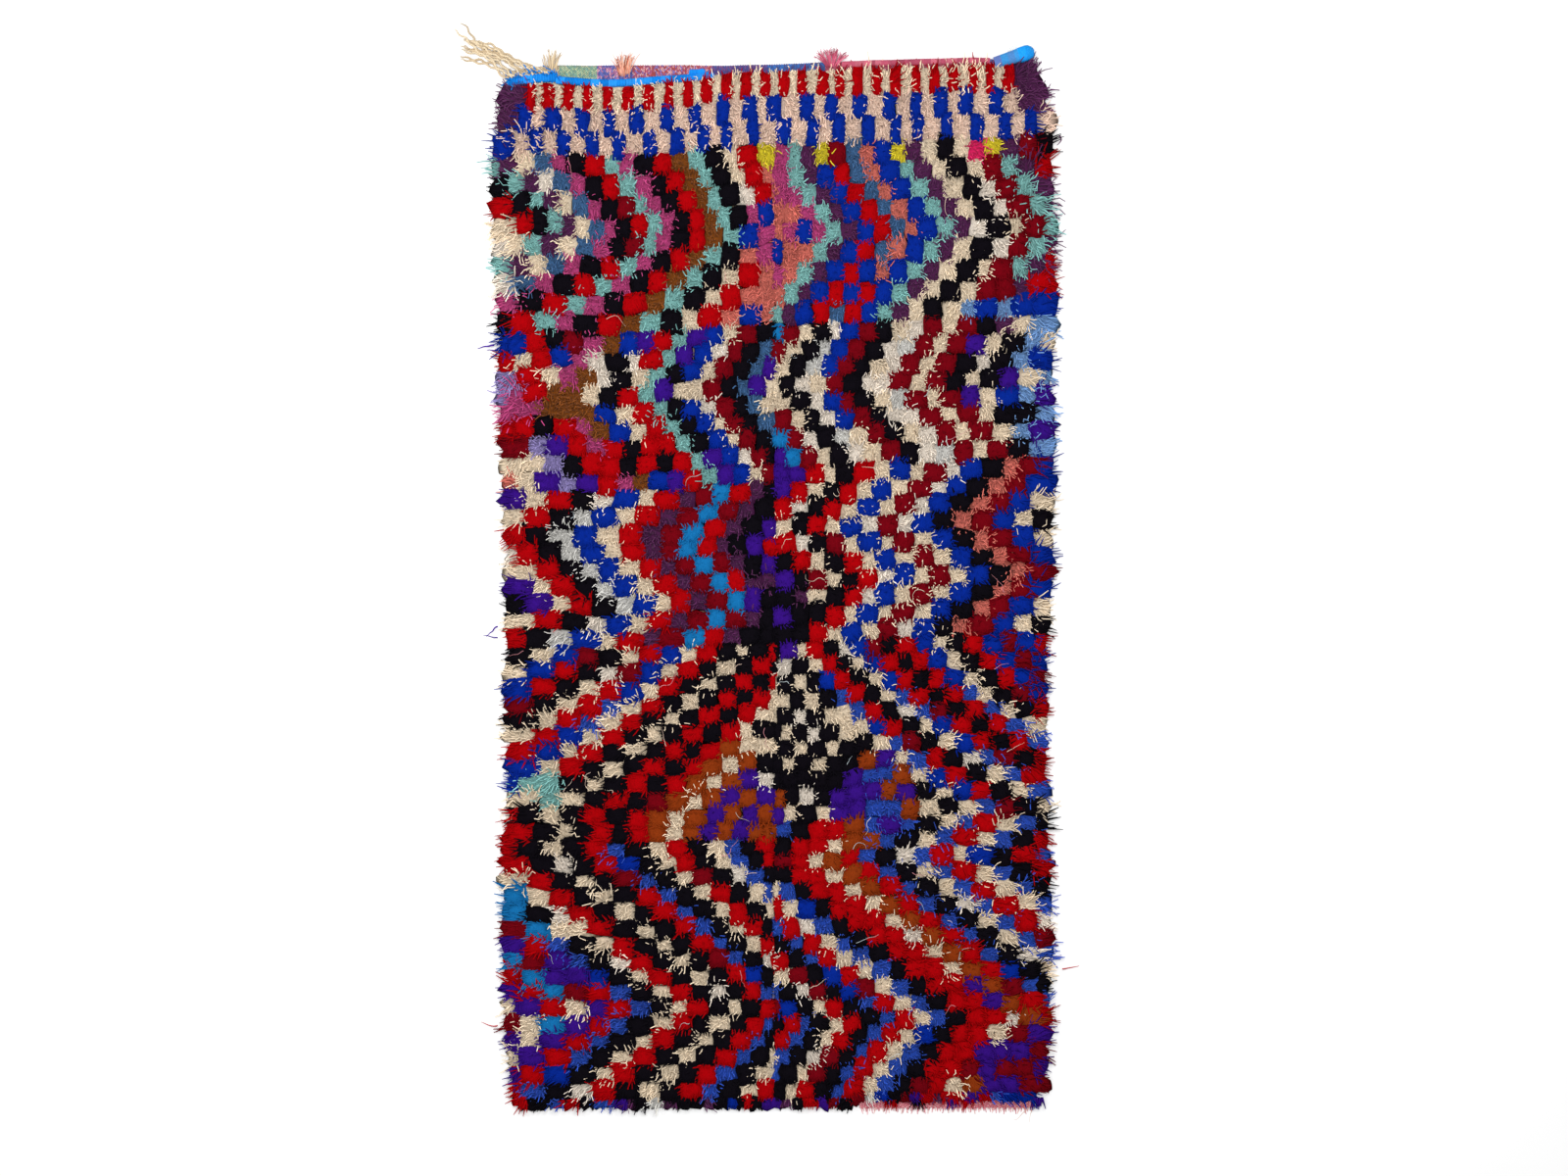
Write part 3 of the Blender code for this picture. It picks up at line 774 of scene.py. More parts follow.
def pile_tree(name, material):
    """The node group that grows one yarn end from each point."""
    tree = bpy.data.node_groups.new(name, "GeometryNodeTree")
    tree.interface.new_socket("Geometry", in_out="INPUT", socket_type="NodeSocketGeometry")
    for label, value in (
        ("Thickness", 1.3 * MM),
        ("Tip share", 0.5),
        ("Rings", 3),
        ("Droop", 2.4 * MM),
        ("Spread", 4 * MM),
        ("Stray", 0.3),
        ("Curl", 3 * MM),
        ("Seed", 1),
    ):
        kind = "NodeSocketInt" if isinstance(value, int) else "NodeSocketFloat"
        tree.interface.new_socket(label, in_out="INPUT", socket_type=kind).default_value = value
    tree.interface.new_socket("Geometry", in_out="OUTPUT", socket_type="NodeSocketGeometry")
    given = add_node(tree, "NodeGroupInput").outputs

    # One yarn end: a three-sided strand that droops and thins, one metre long until it gets its own length.
    line = add_node(tree, "GeometryNodeCurvePrimitiveLine", {"End": (0, 0, 1)})
    cut = add_node(tree, "GeometryNodeResampleCurve", {"Curve": line, "Count": given["Rings"]})
    along = add_node(tree, "GeometryNodeSplineParameter")
    squared = add_node(tree, "ShaderNodeMath", {0: along, 1: along}, operation="MULTIPLY")
    drooped = add_node(tree, "ShaderNodeMath", {0: squared, 1: given["Droop"]}, operation="MULTIPLY")
    offset = add_node(tree, "ShaderNodeCombineXYZ", {"X": drooped})
    bent = add_node(tree, "GeometryNodeSetPosition", {"Geometry": cut, "Offset": offset})
    tip = add_node(
        tree, "ShaderNodeMath", {0: given["Thickness"], 1: given["Tip share"]}, operation="MULTIPLY"
    )
    radius = add_node(tree, "ShaderNodeMapRange", {"Value": squared, 3: given["Thickness"], 4: tip})
    marked = add_node(
        tree, "GeometryNodeStoreNamedAttribute", {"Geometry": bent, "Name": "along", "Value": along},
        data_type="FLOAT",
    )
    profile = add_node(tree, "GeometryNodeCurvePrimitiveCircle", {"Resolution": 3, "Radius": 1.0})
    strand = add_node(
        tree, "GeometryNodeCurveToMesh",
        {"Curve": marked, "Profile Curve": profile, "Scale": radius, "Fill Caps": True},
    )

    def scatter(low, high, seed_step, kind="FLOAT_VECTOR"):
        seed = add_node(tree, "ShaderNodeMath", {0: given["Seed"], 1: seed_step}, operation="ADD")
        first = 0 if kind == "FLOAT_VECTOR" else 2
        inputs = {first: low, first + 1: high, "Seed": seed}
        return add_node(tree, "FunctionNodeRandomValue", inputs, data_type=kind)

    # Each end grows a little aside from its place, and has its own shade, size and direction.
    points = add_node(tree, "GeometryNodeMeshToPoints", {"Mesh": given["Geometry"]})
    aside = scatter((-0.5, -0.5, -0.3), (0.5, 0.5, 0.3), 1)
    aside = add_node(tree, "ShaderNodeVectorMath", {0: aside, "Scale": given["Spread"]}, operation="SCALE")
    placed = add_node(tree, "GeometryNodeSetPosition", {"Geometry": points, "Offset": aside})
    shaded = add_node(
        tree, "GeometryNodeStoreNamedAttribute",
        {"Geometry": placed, "Name": "shade", "Value": scatter(0.0, 1.0, 2, "FLOAT")}, data_type="FLOAT",
    )
    lean = add_node(tree, "GeometryNodeInputNamedAttribute", {"Name": "lean"}, data_type="FLOAT_VECTOR")
    stray = scatter((-1, -1, -0.4), (1, 1, 0.4), 3)
    stray = add_node(tree, "ShaderNodeVectorMath", {0: stray, "Scale": given["Stray"]}, operation="SCALE")
    aim = add_node(tree, "ShaderNodeVectorMath", {0: lean, 1: stray}, operation="ADD")
    turned = add_node(
        tree, "FunctionNodeAxesToRotation", {"Primary Axis": aim, "Secondary Axis": (0, 0, -1)},
        primary_axis="Z", secondary_axis="X",
    )
    length = add_node(tree, "GeometryNodeInputNamedAttribute", {"Name": "length"}, data_type="FLOAT")
    longer = scatter(0.6, 1.5, 4, "FLOAT")
    own_length = add_node(tree, "ShaderNodeMath", {0: length, 1: longer}, operation="MULTIPLY")
    girth = scatter(0.8, 1.25, 5, "FLOAT")
    own_size = add_node(tree, "ShaderNodeCombineXYZ", {"X": girth, "Y": girth, "Z": own_length})
    yarns = add_node(
        tree, "GeometryNodeInstanceOnPoints",
        {"Points": shaded, "Instance": strand, "Rotation": turned, "Scale": own_size},
    )
    real = add_node(tree, "GeometryNodeRealizeInstances", {"Geometry": yarns})

    # Each end curls its own way, more towards its tip. None goes through the floor or far above the pile.
    own_shade = add_node(tree, "GeometryNodeInputNamedAttribute", {"Name": "shade"}, data_type="FLOAT")
    far_along = add_node(tree, "GeometryNodeInputNamedAttribute", {"Name": "along"}, data_type="FLOAT")
    apart = add_node(tree, "ShaderNodeMath", {0: own_shade, 1: 997.0}, operation="MULTIPLY")
    track = add_node(tree, "ShaderNodeCombineXYZ", {"X": apart, "Y": far_along})
    waves = add_node(tree, "ShaderNodeTexNoise", {"Vector": track, "Scale": 3.0, "Detail": 0.0})
    centred = add_node(
        tree, "ShaderNodeVectorMath", {0: waves.outputs["Color"], 1: (0.5, 0.5, 0.5)}, operation="SUBTRACT"
    )
    centred = add_node(tree, "ShaderNodeVectorMath", {0: centred, 1: (1.0, 1.0, 0.35)}, operation="MULTIPLY")
    amount = add_node(tree, "ShaderNodeMath", {0: far_along, 1: given["Curl"]}, operation="MULTIPLY")
    curl = add_node(tree, "ShaderNodeVectorMath", {0: centred, "Scale": amount}, operation="SCALE")
    curled = add_node(tree, "GeometryNodeSetPosition", {"Geometry": real, "Offset": curl})
    reached = add_node(tree, "GeometryNodeInputPosition")
    least, most = (-FAR, -FAR, FLOOR_GAP), (FAR, FAR, PILE_TOP)
    lowest = add_node(tree, "ShaderNodeVectorMath", {0: reached, 1: least}, operation="MAXIMUM")
    pressed = add_node(tree, "ShaderNodeVectorMath", {0: lowest, 1: most}, operation="MINIMUM")
    settled = add_node(tree, "GeometryNodeSetPosition", {"Geometry": curled, "Position": pressed})
    soft = add_node(tree, "GeometryNodeSetShadeSmooth", {"Geometry": settled})
    done = add_node(tree, "GeometryNodeSetMaterial", {"Geometry": soft, "Material": material})
    add_node(tree, "NodeGroupOutput", {"Geometry": done})
    return tree


END_VALUES = (
    ("lean", "FLOAT_VECTOR", "vector"),
    ("length", "FLOAT", "value"),
    ("colour", "FLOAT_COLOR", "color"),
)


def grown_ends(name, tree, ends, settings):
    """A piece of pile: points with a lean, a length and a colour, each grown into a yarn end."""
    mesh = bpy.data.meshes.new(name)
    mesh.from_pydata([end[0] for end in ends], [], [])
    for number, (label, kind, field) in enumerate(END_VALUES, 1):
        values = np.array([end[number] for end in ends], dtype=float)
        mesh.attributes.new(label, kind, "POINT").data.foreach_set(field, values.ravel())
    obj = add_object(name, mesh)
    modifier = obj.modifiers.new("pile", "NODES")
    modifier.node_group = tree
    sockets = {item.name: item.identifier for item in tree.interface.items_tree if item.in_out == "INPUT"}
    for label, value in settings.items():
        modifier[sockets[label]] = value
    plain = bpy.data.meshes.new_from_object(obj.evaluated_get(bpy.context.evaluated_depsgraph_get()))
    obj.modifiers.clear()
    obj.data = plain
    bpy.data.meshes.remove(mesh)
    return obj


def yarn_material(name, fibre_scale, roughness, sheen, root_shade):
    """Yarn coloured by its knot, each end a little lighter or darker: painted shade at its root, painted
    light at its tip.
    """
    material, tree, shader = new_material(name)
    tint = add_node(tree, "ShaderNodeAttribute", attribute_name="colour")
    along = add_node(tree, "ShaderNodeAttribute", attribute_name="along").outputs["Fac"]
    shade = add_node(tree, "ShaderNodeAttribute", attribute_name="shade").outputs["Fac"]
    place = add_node(tree, "ShaderNodeTexCoord").outputs["Object"]
    fibres = add_node(tree, "ShaderNodeTexNoise", {"Vector": place, "Scale": fibre_scale, "Detail": 3})
    # Painted shade: dark at the root, where the ends shade each other, and lighter than the yarn at the tip.
    painted_root_shade_ramp = add_node(tree, "ShaderNodeMapRange", {"Value": along, 1: 0.1, 2: 0.85, 3: root_shade, 4: 1.15})
    own = add_node(tree, "ShaderNodeMapRange", {"Value": shade, 3: 0.82, 4: 1.1})
    fleck = add_node(tree, "ShaderNodeMapRange", {"Value": fibres, 1: 0.3, 2: 0.7, 3: 0.85, 4: 1.1})
    value = add_node(tree, "ShaderNodeMath", {0: painted_root_shade_ramp, 1: own}, operation="MULTIPLY")
    value = add_node(tree, "ShaderNodeMath", {0: value, 1: fleck}, operation="MULTIPLY")
    tone = add_node(
        tree, "ShaderNodeMix", {"Factor": 1.0, 6: tint, 7: value}, data_type="RGBA", blend_type="MULTIPLY"
    )
    bump = add_node(tree, "ShaderNodeBump", {"Height": fibres, "Strength": 0.6, "Distance": 1 * MM})
    tree.links.new(tone.outputs[2], shader.inputs["Base Color"])
    tree.links.new(bump.outputs["Normal"], shader.inputs["Normal"])
    shader.inputs["Roughness"].default_value = roughness
    shader.inputs["Sheen Weight"].default_value = sheen
    shader.inputs["Specular IOR Level"].default_value = 0.04
    return material


# Loosely spun cotton cord: dry and matt, each end sharp against the next through deep painted shade at its
# root.
cotton_material = yarn_material("loosely spun cotton yarn", 700, 0.9, 0.05, 0.52)
# Carded wool: soft and saturated, hardly any single fibre to be seen.
wool_material = yarn_material("soft carded wool yarn", 350, 1.0, 0.0, 0.9)

COTTON_SETTINGS = {
    "Thickness": 1.7 * MM,
    "Tip share": 0.65,
    "Rings": 4,
    "Curl": 26 * MM,
    "Spread": 4 * MM,
    "Stray": 0.45,
}
WOOL_SETTINGS = {
    "Thickness": 2.9 * MM,
    "Tip share": 0.3,
    "Rings": 2,
    "Curl": 8 * MM,
    "Spread": 5 * MM,
    "Stray": 0.4,
}

cotton_tree = pile_tree("cotton ends", cotton_material)
wool_tree = pile_tree("wool ends", wool_material)
all_ends = lay_ends()
for kind, tree, piece_count, settings in (
    ("wool", wool_tree, 2, WOOL_SETTINGS),
    ("cotton", cotton_tree, 3, COTTON_SETTINGS),
):
    share = math.ceil(len(all_ends[kind]) / piece_count)
    for k in range(piece_count):
        part = all_ends[kind][k * share : (k + 1) * share]
        piece = grown_ends(f"{kind}_pile_{k + 1}", tree, part, {**settings, "Seed": 10 * k + len(kind)})
        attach(piece, "root")

# The heading. Past the last knots the weaver went on in flat weave, close rows of weft beaten over the rug's
# own warp: undyed at the left, then sage, a rose and blue speckle, slate, and rose rolled over at the right.

WEFT_PITCH = 2.8 * MM
WEFT_ROW = 5.2 * MM
HEADING_ZONES = (  # end of the zone, colours of its wefts
    (-0.500, ("D9C8A6", "CDBB98", "E2D4B8")),
    (-0.413, ("8DB296", "A5C0A0", "7FA79C", "B9C4A0")),
    (-0.330, ("6F78C0", "B67BA4", "D8A7B4", "5A63A8")),
    (-0.150, ("A45A7C", "C4657A", "8E78B8", "D9A5A8", "B2524E")),
    (-0.020, ("5B4A8E", "4C589C", "7A568E")),
    (0.110, ("41639F", "3C76C4", "4B5590")),
    (0.485, ("B9586F", "C97284", "A84C62")),
    (0.600, ("3B78C6", "5A5CAE", "4A8AD2")),
)


UP = Vector((0, 0, 1))
WOUND_STEPS = 10  # for each turn
WOUND_TURNS = 6  # for each strand


def wound(start, end, core, yarn, pitch, colours, flat=1.0):
    """Yarn wound round a core from start to end, as strands: points, radii, colour and reference direction.

    The core is a radius, or a function that gives it for a share of the way.
    """
    start, end = Vector(start), Vector(end)
    axis = (end - start).normalized()
    side = axis.cross(UP).normalized()
    turns = (end - start).length / pitch
    strands = []
    for first in range(0, math.ceil(turns), WOUND_TURNS):
        last = min(first + WOUND_TURNS, turns)
        points = []
        for k in range(round((last - first) * WOUND_STEPS) + 1):
            turn = first + k / WOUND_STEPS
            angle = 2 * math.pi * turn
            share = turn / turns
            radius = core(share) if callable(core) else core
            aside = side * math.cos(angle) * radius
            points.append(start.lerp(end, share) + aside + UP * flat * math.sin(angle) * radius)
        colour = colours[int(steady(first, start.x * 9, turns) * len(colours))]
        strands.append((points, [yarn] * len(points), colour, axis))
    return strands


def yarn_object(name, strands, material, sides=5):
    """Closed yarns along their points, lying on or above the floor."""
    vertices, faces, colours, shades = [], [], [], []
    for number, (points, radii, hex_text, reference) in enumerate(strands):
        base = len(vertices)
        count = len(points)
        for k, (point, radius) in enumerate(zip(points, radii)):
            ahead = points[min(k + 1, count - 1)] - points[max(k - 1, 0)]
            side = ahead.cross(reference).normalized()
            over = side.cross(ahead).normalized()
            for s in range(sides):
                turn = 2 * math.pi * s / sides
                place = point + (side * math.cos(turn) + over * math.sin(turn)) * radius
                vertices.append((place.x, place.y, max(place.z, FLOOR_GAP)))
        shades += [steady(number, 3, 1)] * (count * sides)
        for k in range(count - 1):
            for s in range(sides):
                a, b = base + k * sides + s, base + k * sides + (s + 1) % sides
                faces.append((a, a + sides, b + sides, b))
        faces.append([base + s for s in range(sides)])
        faces.append([base + (count - 1) * sides + s for s in reversed(range(sides))])
        colours += [linear(hex_text)] * (len(faces) - len(colours))
    obj = mesh_object(name, vertices, faces, material)
    add_values(obj, "colour", "FLOAT_COLOR", "FACE", colours)
    add_values(obj, "shade", "FLOAT", "POINT", shades)
    add_values(obj, "along", "FLOAT", "POINT", [1.0] * len(vertices))
    return obj


STRIP_POINTS = 120


def strip_lines(node):
    """The lower and the upper line of a CAD strip near the floor, each as points from left to right."""
    solid = solid_tree(node)
    xs = [v.co.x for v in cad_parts[node].data.vertices]
    lower, upper = [], []
    for x in np.linspace(min(xs) + 1 * MM, max(xs) - 1 * MM, STRIP_POINTS):
        from_below = solid.ray_cast(Vector((x, -3, 1 * MM)), Vector((0, 1, 0)))[0]
        from_above = solid.ray_cast(Vector((x, 3, 1 * MM)), Vector((0, -1, 0)))[0]
        if from_below and from_above:
            lower.append((x, from_below.y))
            upper.append((x, from_above.y))
    return np.array(lower), np.array(upper)


CORE_STEPS = 90
CORE_GAP = 0.2 * MM


def woven_core(name, lower, upper, thickness, material, hex_text):
    """A thin closed strip between two lines, under the wefts that cover it."""
    vertices, faces = [], []
    for x in np.linspace(lower[0, 0], lower[-1, 0], CORE_STEPS):
        low, high = line_at(lower, x), line_at(upper, x)
        vertices += [(x, low, CORE_GAP), (x, high, CORE_GAP), (x, high, thickness), (x, low, thickness)]
    last = len(vertices) - 4
    for first in range(0, last, 4):
        for s in range(4):
            a, b = first + s, first + (s + 1) % 4
            faces.append((a, b, b + 4, a + 4))
    faces += [(3, 2, 1, 0), (last, last + 1, last + 2, last + 3)]
    obj = mesh_object(name, vertices, faces, material, smooth=False)
    add_values(obj, "colour", "FLOAT_COLOR", "FACE", [linear(hex_text)] * len(faces))
    return obj


def weft_tree(name, material):
    """The node group that sets one weft float, a small oval bead of yarn, on each point."""
    tree = bpy.data.node_groups.new(name, "GeometryNodeTree")
    tree.interface.new_socket("Geometry", in_out="INPUT", socket_type="NodeSocketGeometry")
    for label, value in (("Width", 2 * MM), ("Length", 4 * MM), ("Height", 2 * MM)):
        tree.interface.new_socket(label, in_out="INPUT", socket_type="NodeSocketFloat").default_value = value
    tree.interface.new_socket("Geometry", in_out="OUTPUT", socket_type="NodeSocketGeometry")
    given = add_node(tree, "NodeGroupInput").outputs
    bead = add_node(tree, "GeometryNodeMeshIcoSphere", {"Radius": 0.5, "Subdivisions": 1})
    points = add_node(tree, "GeometryNodeMeshToPoints", {"Mesh": given["Geometry"]})
    size = add_node(
        tree, "ShaderNodeCombineXYZ", {"X": given["Width"], "Y": given["Length"], "Z": given["Height"]}
    )
    tilt = add_node(
        tree, "FunctionNodeRandomValue", {0: (-0.2, -0.2, -0.35), 1: (0.2, 0.2, 0.35), "Seed": 4},
        data_type="FLOAT_VECTOR",
    )
    shade = add_node(tree, "FunctionNodeRandomValue", {2: 0.0, 3: 1.0, "Seed": 5}, data_type="FLOAT")
    shaded = add_node(
        tree, "GeometryNodeStoreNamedAttribute", {"Geometry": points, "Name": "shade", "Value": shade},
        data_type="FLOAT",
    )
    beads = add_node(
        tree, "GeometryNodeInstanceOnPoints",
        {"Points": shaded, "Instance": bead, "Rotation": tilt, "Scale": size},
    )
    real = add_node(tree, "GeometryNodeRealizeInstances", {"Geometry": beads})
    soft = add_node(tree, "GeometryNodeSetShadeSmooth", {"Geometry": real})
    done = add_node(tree, "GeometryNodeSetMaterial", {"Geometry": soft, "Material": material})
    add_node(tree, "NodeGroupOutput", {"Geometry": done})
    return tree


WEFT_DEPTH = 0.4 * MM
WEFT_ROUNDING = 1.5 * MM


def weft_places(lower, upper, thickness, colours_at):
    """The weft floats of a strip, in rows that follow it, each column half a row off the one before."""
    start, end = lower[0, 0], lower[-1, 0]
    places = []
    for i in range(round((end - start) / WEFT_PITCH)):
        x = start + i * WEFT_PITCH
        low, high = line_at(lower, x), line_at(upper, x)
        rows = max(2, round((high - low) / WEFT_ROW))
        for j in range(rows):
            share = (j + 0.5 + 0.5 * (i % 2 - 0.5)) / rows
            z = thickness - WEFT_DEPTH - WEFT_ROUNDING * abs(2 * share - 1) ** 4
            colours = colours_at(x)
            tint = linear(colours[int(steady(i, j, 8) * len(colours))])
            places.append(((x, between((low, high), share), z), UP, 1.0, tint))
    return places


def heading_colours(x):
    for end, colours in HEADING_ZONES:
        if x < end:
            break
    return colours


# Weft-faced flat weave of old clothing yarns: dense small ribs, matt, flecked where colours mix.
weave_material = yarn_material("weft-faced flat weave", 800, 0.9, 0.05, 1.0)
weave_tree = weft_tree("weft floats", weave_material)
HEADING_THICKNESS = 5 * MM
CORE_DEPTH = 1 * MM
heading_low, heading_high = strip_lines("heading_band")
heading_core = woven_core(
    "heading_core", heading_low, heading_high, HEADING_THICKNESS - CORE_DEPTH, weave_material, "6A4A60"
)
heading_wefts = grown_ends(
    "heading_wefts",
    weave_tree,
    weft_places(heading_low, heading_high, HEADING_THICKNESS, heading_colours),
    {"Width": 3.4 * MM, "Length": 6.4 * MM, "Height": 2.8 * MM},
)

# Two lines are wound over the heading: bright azure wool along its lower edge at the left, and the rolled
# rose edge at the right, each a soft core wrapped closely with yarn.

AZURE = ("1C86DC", "2A90E4", "1478CC")
ROSE = ("B9586F", "C66C7E", "A94E64")
# x from and to, share over the heading, radius of the core and of the yarn, pitch, colours, height, flatness
WOUND_LINES = (
    (-0.505, -0.145, 0.20, 7.5 * MM, 1.9 * MM, 3.3 * MM, AZURE, 7.0 * MM, 0.6),
    (-0.617, -0.505, 0.35, 9.5 * MM, 2.0 * MM, 3.6 * MM, AZURE, 7.0 * MM, 0.5),
    (-0.200, -0.165, 0.55, 5.0 * MM, 1.9 * MM, 3.4 * MM, AZURE, 6.0 * MM, 0.6),
    (0.150, 0.490, 0.72, 6.5 * MM, 1.3 * MM, 2.5 * MM, ROSE, 6.5 * MM, 0.8),
)
WOUND_STRETCH = 40 * MM
AZURE_END_COUNT = 46
AZURE_END_LENGTH = 17 * MM
AZURE_END_XS = (-0.620, -0.495)
AZURE_END_SHARES = (0.15, 0.80)
AZURE_END_HEIGHT = 5 * MM


def line_over_heading(x, share):
    return between((line_at(heading_low, x), line_at(heading_high, x)), share)


def wound_along(start, end, share, core, yarn, pitch, colours, height, flat):
    """A wound line that follows the heading in short straight stretches."""
    strands = []
    count = math.ceil((end - start) / WOUND_STRETCH)
    for k in range(count):
        xs = (between((start, end), k / count), between((start, end), (k + 1) / count))
        places = [(x, line_over_heading(x, share), height) for x in xs]
        strands += wound(*places, core, yarn, pitch, colours, flat)
    return strands


def azure_frays():
    """The frayed ends of the azure wool, over the left end of the heading."""
    ends = []
    for k in range(AZURE_END_COUNT):
        x = between(AZURE_END_XS, steady(k, 1, 3))
        y = line_over_heading(x, between(AZURE_END_SHARES, steady(k, 2, 3)))
        aim = Vector((steady(k, 5, 3) - 0.6, steady(k, 6, 3) - 0.5, 0.4)).normalized()
        tint = np.array(linear(AZURE[k % len(AZURE)]))
        ends.append(((x, y, AZURE_END_HEIGHT), aim, AZURE_END_LENGTH, tint))
    return ends


wound_strands = [strand for line in WOUND_LINES for strand in wound_along(*line)]
wound_lines = yarn_object("wound_lines", wound_strands, wool_material)
AZURE_SETTINGS = {**WOOL_SETTINGS, "Tip share": 0.4, "Seed": 77}
azure_tufts = grown_ends("azure_tufts", wool_tree, azure_frays(), AZURE_SETTINGS)

heading_yarns = [heading_wefts, wound_lines, azure_tufts]
for piece in (heading_core, *heading_yarns):
    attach(piece, "root")
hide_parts("heading_band")

# The small tufts at the head. Each is a pinch of cut cotton yarn ends, knotted into the heading, and it
# stands out past it.

TUFTS = (  # node, slot, middle, width, length, number of ends, fan in degrees, colours
    ("tuft_cream", "warp_cotton", -0.517, 0.030, 0.036, 22, 34, ("CDB894", "BFA886", "D9C6A4", "A89278")),
    (
        "tuft_salmon", "tuft_salmon_yarn", -0.349, 0.034, 0.032, 34, 34,
        ("D08A72", "C06A50", "DDA08C", "8E4A34", "E0B098"),
    ),
    ("tuft_rose", "rose_cotton", 0.126, 0.034, 0.026, 60, 85, ("C4607A", "B04A62", "D4788C", "983E56")),
)
TUFT_RADIUS = 1.1 * MM
TUFT_STEPS = 6
TUFT_ROOTS = (0.45, 0.75)  # share over the heading
TUFT_ROOT_SPAN = 0.75
TUFT_OVERLAP = 12 * MM
TUFT_REACH = (0.75, 1.15)
TUFT_SCATTER = 22
TUFT_HEIGHT = 7 * MM
TUFT_ARCH = 9 * MM
TUFT_LOWEST = 1.2 * MM


def tuft_ends(middle, width, length, count, fan, colours):
    """The ends of one tuft: rooted on the heading, fanned out past its edge in a low arch."""
    strands = []
    for k in range(count):
        across = (k + 0.5) / count - 0.5
        x = middle + width * TUFT_ROOT_SPAN * across
        y = line_over_heading(x, between(TUFT_ROOTS, steady(k, middle * 31, 2)))
        bearing = math.radians(90 - fan * across + TUFT_SCATTER * (steady(k, middle * 17, 1) - 0.5))
        reach = (length + TUFT_OVERLAP) * between(TUFT_REACH, steady(k, middle * 13, 4))
        points, radii = [], []
        for step in range(TUFT_STEPS + 1):
            share = step / TUFT_STEPS
            bend = 0.5 * (steady(k, middle * 23, 6) - 0.5) * share * share
            along = Vector((math.cos(bearing + bend), math.sin(bearing + bend), 0)) * reach * share
            z = TUFT_HEIGHT + TUFT_ARCH * (math.sin(2.2 * share) - share)
            points.append(Vector((x, y, max(z, TUFT_LOWEST))) + along)
            radii.append(TUFT_RADIUS * (1 - 0.5 * share**2))
        colour = colours[int(steady(k, middle * 11, 9) * len(colours))]
        strands.append((points, radii, colour, UP))
    return strands


# Cut ends of plied cotton: matt, with slightly fuzzy tips.
plied_material = yarn_material("plied cotton warp yarn", 900, 0.9, 0.1, 1.0)
for node, slot_name, *tuft in TUFTS:
    piece = yarn_object(node + "_ends", tuft_ends(*tuft), plied_material)
    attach(piece, "root")
    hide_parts(node)

# The corner tassel. The undyed warp ends of the left corner were left long and lie out over the floor, each
# end two plies twisted together and crimped from the weave. Two of them reach farther than the rest.

TASSEL_ENDS = (  # root x, length, first bearing, last bearing in degrees
    (-0.622, 0.120, 128, 172),
    (-0.614, 0.135, 126, 164),
    (-0.606, 0.148, 124, 166),
    (-0.598, 0.158, 126, 158),
    (-0.590, 0.166, 124, 162),
    (-0.582, 0.172, 128, 158),
    (-0.574, 0.176, 132, 160),
    (-0.566, 0.182, 134, 158),
    (-0.558, 0.186, 136, 160),
    (-0.550, 0.190, 142, 156),
    (-0.542, 0.190, 146, 160),
    (-0.600, 0.190, 150, 136),
    (-0.584, 0.200, 152, 132),
    (-0.530, 0.150, 150, 166),
    (-0.522, 0.110, 152, 168),
)
TASSEL_COLOURS = ("C4B194", "B5A183", "D0BFA2")
TASSEL_ROOT = 0.55  # share over the heading
TASSEL_STEP = 2.2 * MM
TASSEL_LAYER = 3 * MM
TASSEL_ARCH = 5 * MM
CRIMP = 0.42
CRIMP_LENGTH = 30 * MM
CRIMP_HEIGHT = 1 * MM
PLY_RADIUS = 1.7 * MM
PLY_OFFSET = 1.3 * MM
PLY_PITCH = 11 * MM
PLIES_REST = 2.4 * MM
PLIES_OPEN_FROM = 0.85
PLY_THINS_FROM = 0.8


def tassel_line(number, x, length, first, last):
    """The wavy line of one tassel end: over the heading at its root, then lying on the floor."""
    phase = 6.3 * steady(number, 4, 2)
    count = round(length / TASSEL_STEP)
    line = [Vector((x, line_over_heading(x, TASSEL_ROOT), 0))]
    for k in range(count):
        bearing = math.radians(between((first, last), min(1, 1.5 * k / count)))
        bearing += CRIMP * math.sin(2 * math.pi * k * TASSEL_STEP / CRIMP_LENGTH + phase)
        bearing += 0.5 * smooth_noise(number * 3.1, k * 0.06, 1.0, 41)
        line.append(line[-1] + Vector((math.cos(bearing), math.sin(bearing), 0)) * TASSEL_STEP)
    for k, point in enumerate(line):
        share = k / count
        lift = TASSEL_LAYER * (number % 3) * (1 - share) + TASSEL_ARCH * math.exp(-share * 9)
        point.z = PLIES_REST + lift + CRIMP_HEIGHT * math.sin(k * 0.5 + phase)
    return line


def ply(line, phase):
    """The points and radii of one ply twisted round a line. The plies open and thin out at the tip."""
    last = len(line) - 1
    points, radii = [], []
    for k, point in enumerate(line):
        ahead = line[min(k + 1, last)] - line[max(k - 1, 0)]
        side = ahead.cross(UP).normalized()
        turn = 2 * math.pi * k * TASSEL_STEP / PLY_PITCH + phase
        aside = PLY_OFFSET * (1 + 0.3 * ramp(k / last, PLIES_OPEN_FROM, 1))
        points.append(point + side * math.cos(turn) * aside + UP * math.sin(turn) * PLY_OFFSET)
        radii.append(PLY_RADIUS * (1 - 0.75 * ramp(k / last, PLY_THINS_FROM, 1)))
    return points, radii


def tassel_strands():
    """Each tassel end as two plies twisted together."""
    strands = []
    for number, end in enumerate(TASSEL_ENDS):
        line = tassel_line(number, *end)
        for phase in (0, math.pi):
            strands.append((*ply(line, phase), TASSEL_COLOURS[number % 3], UP))
    return strands


tassel = yarn_object("corner_tassel_yarns", tassel_strands(), plied_material)
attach(tassel, "root")
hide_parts("corner_tassel")

# The right corner. It is turned in and bound tightly with wool yarn, blue and violet, with a bright blue tip.
# A faint grey wisp of fibre is caught under the binding.

